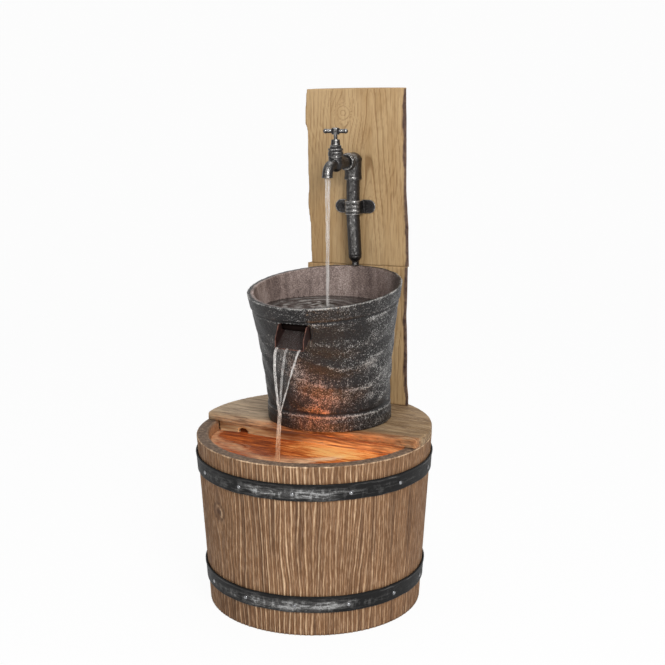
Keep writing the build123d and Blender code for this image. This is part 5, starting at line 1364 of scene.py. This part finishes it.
class FOUNTAIN_OT_posts(bpy.types.Operator):
    """Build the two half-log posts with their growth lines and bark"""
    bl_idname = "fountain.posts"
    bl_label = "Posts"

    def execute(self, context):
        settings = context.scene.fountain_posts
        finish = post_finish(settings)
        for node, seed, arch, knot in (
            ("post_upper", 81, UPPER_ARCH, POST_KNOT),
            ("post_lower", 91, LOWER_ARCH, None),
        ):
            mesh = build_post(node, settings, seed, arch, knot)
            post = place_piece("sawn_" + node, mesh, "top_unit", finish)
            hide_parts(node)
        hatch = plain_finish(
            "bark_hatch", ((92, 70, 56), (128, 100, 78)), 90.0, 0.75,
            depth=0.0012, stretch=(1, 1, 0.25),
        )
        beech = plain_finish(
            "beech_dowel", ((176, 142, 102), (198, 166, 124)), 260.0, 0.7, stretch=(1, 1, 0.1),
        )
        zinc = plain_finish("zinc_plate", ((150, 151, 153), (186, 187, 189)), 500.0, 0.36, 0.85)
        dress(hatch, "upper_back_cover", "lower_back_cover")
        dress(beech, "post_dowels")
        dress(zinc, "cover_screws", "deck_screws", "hose_clamp")
        return {"FINISHED"}


# ----------------------------------------------------------------------- tap
# Each casting's skin size, rounds of smoothing and body.
CASTINGS = {
    "riser_pipe": (0.0009, 2, "top_unit"),
    "pipe_foot": (0.0008, 2, "top_unit"),
    "pipe_elbow": (0.0007, 3, "top_unit"),
    "union_nut": (0.0006, 2, "top_unit"),
    "tap_body": (0.0006, 4, "top_unit"),
    "tap_bonnet": (0.0006, 2, "top_unit"),
    "gland_nut": (0.0005, 2, "top_unit"),
    "spindle": (0.0005, 1, "handle"),
    "t_handle": (0.0005, 4, "handle"),
}
# Directions of the faces that get a painted highlight: up and to the right, and the front.
PAINTED_HIGHLIGHT_ABOVE = np.array((0.35, -0.55, 0.76))
PAINTED_HIGHLIGHT_FRONT = np.array((0.28, -0.95, 0.12))


def build_casting(node, skin, rounds, seed):
    """A pitted casting, rubbed on its edges, with painted highlights on its upper right and its
    front.
    """
    mesh = even_skin(node, skin, rounds)
    points, normals = read_points(mesh), read_normals(mesh)
    seam = np.abs(points[:, 2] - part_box("riser_pipe")[0].z)
    wear_and_painted_light = 0.55 * edge_wear(mesh, skin) * ease(seam, 0.002, 0.007)
    wear_and_painted_light = wear_and_painted_light + 0.5 * ease(normals @ PAINTED_HIGHLIGHT_ABOVE, 0.6, 0.97)
    dabbed = 0.6 + 0.5 * layered(points, 0.0032, 151 + seed, 2)
    wear_and_painted_light = wear_and_painted_light + 0.64 * ease(normals @ PAINTED_HIGHLIGHT_FRONT, 0.80, 0.98) * dabbed
    carve(mesh, 0.0003 * mixed(layered(points, 0.0065, 101 + seed)))
    write_mark(mesh, "wear_and_painted_light", wear_and_painted_light)
    return mesh


def build_clip():
    """The pipe's clip, with ribs across its saddle and bright brims."""
    mesh = even_skin("pipe_clip", CLIP_SKIN)
    points, normals = read_points(mesh), read_normals(mesh)
    low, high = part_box("pipe_clip")
    rise = (points[:, 2] - low.z) / (high.z - low.z)
    saddle = ease(np.abs(points[:, 0] - (low.x + high.x) / 2), 0.019, 0.015)
    ribs = mixed(-np.cos(TURN * rise * 3.5))
    carve(mesh, 0.0007 * ribs * saddle * ease(-normals[:, 1], 0.0, 0.5))
    brims = ease(np.abs(rise - 0.5), 0.40, 0.47)
    lugs = (1 - saddle) * 0.8 * edge_wear(mesh, CLIP_SKIN)
    write_mark(mesh, "wear_and_painted_light", np.clip(saddle * (0.6 - 0.3 * ribs + 0.8 * brims) + lugs, 0, 1))
    return mesh


class FOUNTAIN_OT_tap(bpy.types.Operator):
    """Build the pipe, its clip and the bib tap as rubbed castings"""
    bl_idname = "fountain.tap"
    bl_label = "Pipe and tap"

    def execute(self, context):
        settings = context.scene.fountain_tap
        finish = tap_finish(settings)
        for seed, (node, (skin, rounds, body)) in enumerate(CASTINGS.items()):
            mesh = build_casting(node, skin, rounds, seed)
            casting = place_piece("cast_" + node, mesh, body, finish)
            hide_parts(node)
        clip = place_piece("ribbed_clip", build_clip(), "top_unit", finish)
        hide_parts("pipe_clip")
        copper = plain_finish("valve_copper", ((128, 76, 56), (164, 102, 78)), 380.0, 0.35, 0.85)
        rubber = plain_finish("packing_rubber", ((30, 30, 30), (46, 45, 44)), 500.0, 0.7)
        dress(tap_finish(settings, "screw_metal", False), "clip_screws", "handle_screw")
        dress(copper, "jumper_valve")
        dress(rubber, "gland_packing", "tap_washer")
        return {"FINISHED"}


# --------------------------------------------------------------------- water
def water_disc(radius, level, thick, rings, columns, rippled):
    """A closed round slab of water; radius is a number or one for each column."""
    turn = full_turn(columns)
    top = np.vstack([on_ring(radius * (ring / rings), turn, level) for ring in range(rings, 0, -1)])
    top[:, 2] = level + rippled(top[:, 0], top[:, 1])
    bottom = top[:columns].copy()
    bottom[:, 2] = level - thick
    centre_level = level + rippled(np.zeros(1), np.zeros(1))[0]
    points = np.vstack([top, bottom, [(0, 0, centre_level), (0, 0, level - thick)]])
    faces = ring_faces(rings, columns)
    under, centre, inner = rings * columns, (rings + 1) * columns, (rings - 1) * columns
    for column in range(columns):
        side = (column + 1) % columns
        faces.append((inner + column, inner + side, centre))
        faces.append((column, under + column, under + side, side))
        faces.append((under + side, under + column, centre + 1))
    return points, faces


def rings_on_water(x, y, spot, height, wave, reach):
    """Ripples that die away from a spot."""
    away = np.hypot(x - spot[0], y - spot[1])
    return height * np.cos(TURN * away / wave) * np.exp(-away / reach)


def ribbon(stations, sides=18):
    """A closed skin of water round stations of (middle, half width, half depth)."""
    across = Vector((1, 0, 0))
    points = []
    for index, (middle, half_width, half_depth) in enumerate(stations):
        before = Vector(stations[max(index - 1, 0)][0])
        after = Vector(stations[min(index + 1, len(stations) - 1)][0])
        through = (after - before).normalized().cross(across)
        for side in range(sides):
            angle = TURN * side / sides
            wide, deep = half_width * math.cos(angle), half_depth * math.sin(angle)
            points.append(Vector(middle) + across * wide + through * deep)
    count = len(stations)
    faces = ring_faces(count, sides)
    faces += [tuple(range(sides - 1, -1, -1)), tuple(range((count - 1) * sides, count * sides))]
    return points, faces


def join_skins(name, *skins):
    """One mesh of several skins, each given with how solid its water looks."""
    points, faces, bodies = [], [], []
    for more_points, more_faces, body in skins:
        first = len(points)
        points.extend(tuple(point) for point in more_points)
        faces.extend(tuple(first + corner for corner in face) for face in more_faces)
        bodies.extend([body] * len(more_points))
    mesh = build_mesh(name, points, faces)
    write_mark(mesh, "body", bodies)
    return mesh


def wobble(step, seed):
    """A steady random value from -1 to 1 along a stream."""
    return float(cloud(np.array([[step * 0.37, seed * 1.7, 0.5]]), 1.0, seed)[0])


def fall(share, end_z):
    """A point on the chute's stream: forward evenly, down faster and faster."""
    y, z = CHUTE_LIP[0] - 0.001, CHUTE_LIP[1] + 0.0012
    return y + (LANDING[1] - y) * math.sqrt(share), z + (end_z - z) * share


def chute_sheet():
    """The thin sheet of water that slides down the chute's floor."""
    crest_y, crest_z = CHUTE_CREST
    stations = [((CHUTE_X, crest_y + 0.003, crest_z + 0.0006), CHUTE_HALF, 0.0012)]
    for share in np.linspace(0, 1, 14):
        y = crest_y - 0.001 + (CHUTE_LIP[0] - crest_y) * share
        z = crest_z + 0.0012 + (CHUTE_LIP[1] - crest_z) * share
        half = CHUTE_HALF - 0.0022 * share
        stations.append(((CHUTE_X, y, z), half, 0.0012 - 0.0004 * share))
    return join_skins("chute_sheet_skin", (*ribbon(stations, 32), 1.0))


def fallen_water():
    """Three strands that draw together below the lip, and the stream that they make."""
    skins = []
    for index, (side, girth, body) in enumerate(STRANDS):
        stations = []
        for step in range(31):
            done = step / 30
            y, z = fall(MEETING * done, BASIN_LEVEL - 0.001)
            spread = side * FALL_HALF * (1 - 0.97 * done ** 1.15)
            x = LANDING[0] + spread + 0.0008 * wobble(step, 3 + index)
            width = girth - 0.0009 * done + 0.0006 * wobble(step * 2, 13 + index)
            stations.append(((x, y, z), width, 0.0014 + 0.0003 * done))
        skins.append((*ribbon(stations), body))
    stations = []
    for step in range(46):
        done = step / 45
        y, z = fall(MEETING - 0.01 + (1 - MEETING + 0.01) * done, BASIN_LEVEL - 0.001)
        width = 0.0034 + 0.0016 * done + 0.0005 * wobble(step, 23)
        x = LANDING[0] + 0.0006 * wobble(step, 29)
        stations.append(((x, y, z), width, 0.0020 + 0.0004 * wobble(step, 31)))
    skins.append((*ribbon(stations), 0.9))
    return join_skins("fallen_water_skin", *skins)


def water_film():
    """The thin film between the strands below the chute's lip."""
    stations = []
    for step in range(25):
        done = step / 24
        place_at = (LANDING[0], *fall(0.5 * done, BASIN_LEVEL))
        stations.append((place_at, FALL_HALF * (1 - 0.9 * done ** 1.15), 0.00035))
    return join_skins("film_skin", (*ribbon(stations, 28), 1.0))


def tap_water():
    """The stream that falls from the tap into the pail, thickest at the nozzle."""
    stations = []
    top = NOZZLE[2] + 0.004
    for step in range(70):
        share = step / 69
        gathered = math.exp(-share * 5.5)
        width = 0.0040 - 0.0008 * share + 0.0014 * gathered + 0.0004 * wobble(step, 37)
        depth = 0.0033 - 0.0006 * share + 0.0016 * gathered + 0.0004 * wobble(step, 41)
        x = NOZZLE[0] + 0.0006 * wobble(step * 0.6, 43)
        y = NOZZLE[1] + 0.0004 * wobble(step * 0.6, 47)
        z = top + (POOL_LEVEL - 0.001 - top) * share
        stations.append(((x, y, z), width, depth))
    return join_skins("tap_water_skin", (*ribbon(stations, 20), 1.0))


def pool_radii(columns):
    """The pool's middle, and how far the pool reaches from it in each direction."""
    shift = (PAIL_MOUTH_SHIFT, 0, 0)
    share = (POOL_LEVEL - PAIL_BASE[2]) / (PAIL_TOP[2] - PAIL_BASE[2])
    middle = PAIL_BASE + (PAIL_TOP - PAIL_BASE) * share + shift
    turn = full_turn(columns)
    near, far = np.full(columns, 0.05), np.full(columns, 0.17)
    for _ in range(24):
        reach = (near + far) / 2
        spots = on_ring(reach, turn, 0) + (middle[0], middle[1], POOL_LEVEL)
        at, _, radius = pail_frame(spots - shift)
        wet = radius < pail_r(at) - PAIL_WALL - WATER_GAP
        near, far = np.where(wet, reach, near), np.where(wet, far, reach)
    return middle, near


def basin_foam(x, y, inner):
    """Foam along the rim, in drifts in front, in a loop on the left and round the stream."""
    swirls = mixed(layered(rows_of(x, y, 0), 0.02, 133))
    spread = np.hypot(x - LANDING[0], y - LANDING[1])
    foam = ease(inner - np.hypot(x, y), 0.014, 0.006)
    drift = y - LANDING[1] - 0.5 * np.abs(x - LANDING[0]) - 0.008 * swirls
    foam = foam + bell(drift, 0, 0.011) * ease(x, 0.03, -0.01) * mixed(swirls)
    loop = np.hypot((x + 0.118) / 1.5, y + 0.098)
    foam = foam + 0.7 * bell(loop, 0.013, 0.0035) + 0.5 * bell(loop, 0.024, 0.003) * swirls
    foam = foam + 0.9 * ease(spread, 0.075, 0.03)
    strip = bell(y - 0.85 * (x - 0.034), -0.120, 0.012) * ease(x, 0.10, 0.07) * ease(x, 0.0, 0.02)
    return np.clip(foam + 1.3 * strip, 0, 1)


def build_basin_water(settings):
    """The water in the barrel, rippled where the stream lands and lit beside the apron."""
    def rippled(x, y):
        swell = layered(rows_of(x, y, 0), 0.026, 121)
        return rings_on_water(x, y, LANDING, settings.ripple, 0.015, 0.05) + 0.0007 * swell

    inner = barrel_r(BASIN_LEVEL) - BARREL_WALL
    points, faces = water_disc(inner - WATER_GAP, BASIN_LEVEL, 0.006, 90, 300, rippled)
    mesh = build_mesh("basin_water_skin", points, faces)
    x, y = read_points(mesh)[:, :2].T
    # Painted lamp light on the water beside the apron.
    lit = 0.14 + 0.85 * bell(x, 0.078, 0.075) * bell(y, -0.045, 0.05)
    lit = lit + 0.3 * bell(x, 0.02, 0.07) * ease(y, -0.12, -0.04)
    write_mark(mesh, "lit", lit)
    write_mark(mesh, "foam", basin_foam(x, y, inner))
    return mesh


def build_pail_water(settings):
    """The pool in the pail, rippled by the tap and drawn down at the chute's crest, with marks for
    its foam, its painted reflections and its painted shade.
    """
    middle, radii = pool_radii(240)
    crest_y, crest_z = CHUTE_CREST

    def rippled(x, y):
        spot = (NOZZLE[0] - middle[0], NOZZLE[1] - middle[1])
        swell = layered(rows_of(x, y, 0), 0.022, 131)
        weir = ease(y + middle[1], crest_y + 0.016, crest_y + 0.001)
        weir = weir * ease(np.abs(x + middle[0] - CHUTE_X), 0.032, 0.024)
        waves = rings_on_water(x, y, spot, 1.3 * settings.ripple, 0.016, 0.03) * (1 - weir)
        return waves + 0.0006 * swell - (POOL_LEVEL - crest_z - 0.0008) * weir

    points, faces = water_disc(radii, POOL_LEVEL, 0.004, 60, 240, rippled)
    points = points + (middle[0], middle[1], 0)
    mesh = build_mesh("pail_water_skin", points, faces)
    x, y = points[:, 0], points[:, 1]
    stir = np.hypot(x - NOZZLE[0] + 0.010, y - NOZZLE[1] + 0.004)
    # Painted reflections in pale rings round the tap, stronger to the left, and foam where it
    # lands.
    ring = mixed(np.cos(TURN * stir / 0.021 + 1.4 * cloud(points, 0.03, 137)))
    aside = 0.25 + 0.75 * ease(x, 0.03, -0.05)
    stir_foam_and_glints = ring * aside * ease(stir, 0.11, 0.05) + 0.5 * ease(stir, 0.02, 0.006)
    # Painted shade over the water at the chute's opening.
    weir = ease(y, crest_y + 0.022, crest_y + 0.010) * ease(np.abs(x - CHUTE_X), 0.036, 0.028)
    write_mark(mesh, "stir_foam_and_glints", stir_foam_and_glints)
    write_mark(mesh, "weir", weir)
    return mesh


class FOUNTAIN_OT_water(bpy.types.Operator):
    """Fill the barrel and the pail, and run the tap and the chute"""
    bl_idname = "fountain.water"
    bl_label = "Water"

    def execute(self, context):
        settings = context.scene.fountain_water
        falling = stream_finish("falling_water", settings, 0.08, 0.6)
        poured = stream_finish("poured_water", settings, 0.05, 0.46)
        film = stream_finish("water_film", settings, 0.0, 0.03)
        for name, mesh, body, finish in (
            ("basin_water", build_basin_water(settings), "basin", basin_finish(settings)),
            ("pail_water", build_pail_water(settings), "top_unit", pool_finish(settings)),
            ("chute_sheet", chute_sheet(), "top_unit", film),
            ("chute_film", water_film(), "top_unit", film),
            ("chute_stream", fallen_water(), "top_unit", falling),
            ("tap_water", tap_water(), "top_unit", poured),
        ):
            place_piece(name, mesh, body, finish)
        return {"FINISHED"}


# -------------------------------------------------------------- hidden works
class FOUNTAIN_OT_works(bpy.types.Operator):
    """Finish the pump, hose, plugs and grommet that are out of sight"""
    bl_idname = "fountain.works"
    bl_label = "Hidden works"

    def execute(self, context):
        moulded = plain_finish("moulded_black", ((30, 31, 33), (44, 45, 48)), 700.0, 0.5)
        rubber = plain_finish("soft_rubber", ((26, 26, 26), (42, 41, 40)), 300.0, 0.72)
        hose = plain_finish(
            "green_hose", ((30, 36, 32), (46, 54, 48)), 160.0, 0.45,
            depth=0.0004, stretch=(1, 1, 0.3),
        )
        ferrite = plain_finish("ferrite", ((34, 34, 37), (52, 52, 56)), 480.0, 0.55, 0.1)
        ceramic = plain_finish(
            "ground_ceramic", ((214, 211, 204), (232, 230, 224)), 620.0, 0.22,
        )
        dress(
            moulded, "pump_body", "volute_cover", "pump_outlet", "pump_strainer", "flow_dial",
            "led_body", "hose_tail",
        )
        dress(
            rubber, "cable_grommet", "drain_plug", "drain_seal", "suction_feet", "shaft_bushes",
            "pump_gland",
        )
        dress(hose, "riser_hose")
        dress(ferrite, "pump_impeller")
        dress(ceramic, "impeller_shaft")
        return {"FINISHED"}


class FOUNTAIN_OT_lamp(bpy.types.Operator):
    """Light the amber lamp that stands on the barrel's floor"""
    bl_idname = "fountain.lamp"
    bl_label = "Lamp"

    def execute(self, context):
        settings = context.scene.fountain_lamp
        bezel = plain_finish("brushed_bezel", ((150, 151, 153), (190, 191, 193)), 600.0, 0.3, 0.9)
        dress(lens_finish(settings), "led_lens")
        dress(bezel, "led_bezel")
        low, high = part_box("led_lens")
        light = bpy.data.lights.new("lamp_light", "SPOT")
        light.energy = settings.power
        light.color = settings.glow[:3]
        light.spot_size = math.radians(125)
        light.spot_blend = 0.6
        light.shadow_soft_size = 0.015
        lamp = bpy.data.objects.new("lamp_light", light)
        lamp.location = ((low.x + high.x) / 2, (low.y + high.y) / 2, high.z + 0.004)
        lamp.rotation_euler = (math.pi, 0, 0)
        context.scene.collection.objects.link(lamp)
        return {"FINISHED"}


# --------------------------------------------------------------------- stage
def stage_finish(settings):
    """Pale floor that shows white to the camera and still takes a soft shadow."""
    finish, tree, shader = start_finish("pale_floor")
    fine = speckle(tree, place(tree), 3.0, 2.0)
    pale = ramp(tree, fine, (0.3, settings.floor), (0.7, shade(240, 240, 240)))
    coat(tree, shader, pale, 0.9, specular=0.0)
    white = add(tree, "ShaderNodeEmission", {"Color": (1, 1, 1, 1), "Strength": 1.0})
    rays = tree.nodes.new("ShaderNodeLightPath").outputs
    seen = sums(tree, "MAXIMUM", rays["Is Camera Ray"], rays["Is Glossy Ray"])
    seen = sums(tree, "MAXIMUM", seen, rays["Is Transmission Ray"])
    cover(tree, times(tree, seen, 0.95), shader, white)
    return finish


def sweep_mesh():
    """A floor that curves up into a backdrop, turned towards the camera."""
    far, bend, half, tall = 2.2, 1.6, 7.0, 6.0
    outline = [(-6.0, 0.0), (far, 0.0)]
    for step in range(1, 13):
        angle = math.pi / 2 * step / 12
        outline.append((far + bend * math.sin(angle), bend * (1 - math.cos(angle))))
    outline.append((far + bend, tall))
    turn = Matrix.Rotation(CAMERA_TURN, 3, "Z")
    points = [turn @ Vector((side, along, z)) for along, z in outline for side in (-half, half)]
    rows = range(0, 2 * len(outline) - 2, 2)
    return build_mesh("sweep_skin", points, [(row, row + 1, row + 3, row + 2) for row in rows])


def soft_light(name, power, size, place_at, aim):
    """A round area light that looks at a point."""
    light = bpy.data.lights.new(name, "AREA")
    light.shape = "DISK"
    light.size = size
    light.energy = power
    holder = bpy.data.objects.new(name, light)
    holder.location = place_at
    holder.rotation_euler = (Vector(aim) - Vector(place_at)).to_track_quat("-Z", "Y").to_euler()
    bpy.context.scene.collection.objects.link(holder)


def set_camera(scene):
    """A camera at its place, turned, tipped down and rolled a little."""
    camera = bpy.data.objects.new("camera", bpy.data.cameras.new("camera"))
    scene.collection.objects.link(camera)
    camera.data.sensor_width = CAMERA_SENSOR
    camera.data.lens = CAMERA_LENS
    back = Vector(CAMERA_BACK).normalized()
    level = Vector((math.cos(CAMERA_TURN), math.sin(CAMERA_TURN), 0))
    upward = back.cross(level)
    right = level * math.cos(CAMERA_ROLL) + upward * math.sin(CAMERA_ROLL)
    up = upward * math.cos(CAMERA_ROLL) - level * math.sin(CAMERA_ROLL)
    turn = Matrix((right, up, back)).transposed().to_4x4()
    camera.matrix_world = Matrix.Translation(CAMERA_PLACE) @ turn
    scene.camera = camera


class FOUNTAIN_OT_stage(bpy.types.Operator):
    """Set the camera, the floor and the lights"""
    bl_idname = "fountain.stage"
    bl_label = "Stage"

    def execute(self, context):
        scene = context.scene
        settings = scene.fountain_stage
        set_camera(scene)
        floor = bpy.data.objects.new("floor", sweep_mesh())
        scene.collection.objects.link(floor)
        floor.data.materials.append(stage_finish(settings))

        soft_light("key", settings.key, 1.2, (1.7, -1.7, 1.8), (0.0, 0.0, 0.42))
        soft_light("fill", settings.fill, 1.6, (-1.1, -2.2, 1.2), (0.0, 0.0, 0.4))
        soft_light("top", 2.0 * settings.fill, 1.4, (0.1, 0.5, 2.4), (0.0, 0.0, 0.4))
        world = bpy.data.worlds.new("sky")
        scene.world = world
        world.use_nodes = True
        tree = world.node_tree
        background = tree.nodes["Background"]
        background.inputs["Color"].default_value = (1, 1, 1, 1)
        rays = tree.nodes.new("ShaderNodeLightPath").outputs
        strength = levels(tree, rays["Is Camera Ray"], 0.0, 1.0, settings.sky, 1.0)
        fill(tree, background.inputs["Strength"], strength)
        scene.view_settings.view_transform = "Standard"
        return {"FINISHED"}


# --------------------------------------------------------------------- add-on
SETTINGS = {
    "fountain_barrel": BarrelSettings,
    "fountain_hoops": HoopSettings,
    "fountain_deck": DeckSettings,
    "fountain_pail": PailSettings,
    "fountain_posts": PostSettings,
    "fountain_tap": TapSettings,
    "fountain_water": WaterSettings,
    "fountain_lamp": LampSettings,
    "fountain_stage": StageSettings,
}
OPERATORS = (
    FOUNTAIN_OT_stage,
    FOUNTAIN_OT_barrel,
    FOUNTAIN_OT_hoops,
    FOUNTAIN_OT_deck,
    FOUNTAIN_OT_pail,
    FOUNTAIN_OT_chute,
    FOUNTAIN_OT_posts,
    FOUNTAIN_OT_tap,
    FOUNTAIN_OT_works,
    FOUNTAIN_OT_lamp,
    FOUNTAIN_OT_water,
)


class FOUNTAIN_PT_panel(bpy.types.Panel):
    """Sidebar panel with the fountain's pieces and their settings"""
    bl_idname = "FOUNTAIN_PT_panel"
    bl_label = "Barrel Fountain"
    bl_space_type = "VIEW_3D"
    bl_region_type = "UI"
    bl_category = "Fountain"

    def draw(self, context):
        for operator in OPERATORS:
            self.layout.operator(operator.bl_idname)
        for name, group in SETTINGS.items():
            box = self.layout.box()
            for key in group.__annotations__:
                box.prop(getattr(context.scene, name), key)


def register():
    """Registers the settings, the operators and the panel."""
    for name, group in SETTINGS.items():
        bpy.utils.register_class(group)
        setattr(bpy.types.Scene, name, PointerProperty(type=group))
    for operator in OPERATORS:
        bpy.utils.register_class(operator)
    bpy.utils.register_class(FOUNTAIN_PT_panel)


def unregister():
    bpy.utils.unregister_class(FOUNTAIN_PT_panel)
    for operator in reversed(OPERATORS):
        bpy.utils.unregister_class(operator)
    for name, group in reversed(SETTINGS.items()):
        delattr(bpy.types.Scene, name)
        bpy.utils.unregister_class(group)


def main():
    """Builds the whole fountain."""
    register()
    for operator in OPERATORS:
        group, name = operator.bl_idname.split(".")
        getattr(getattr(bpy.ops, group), name)()


if __name__ == "__main__":
    main()
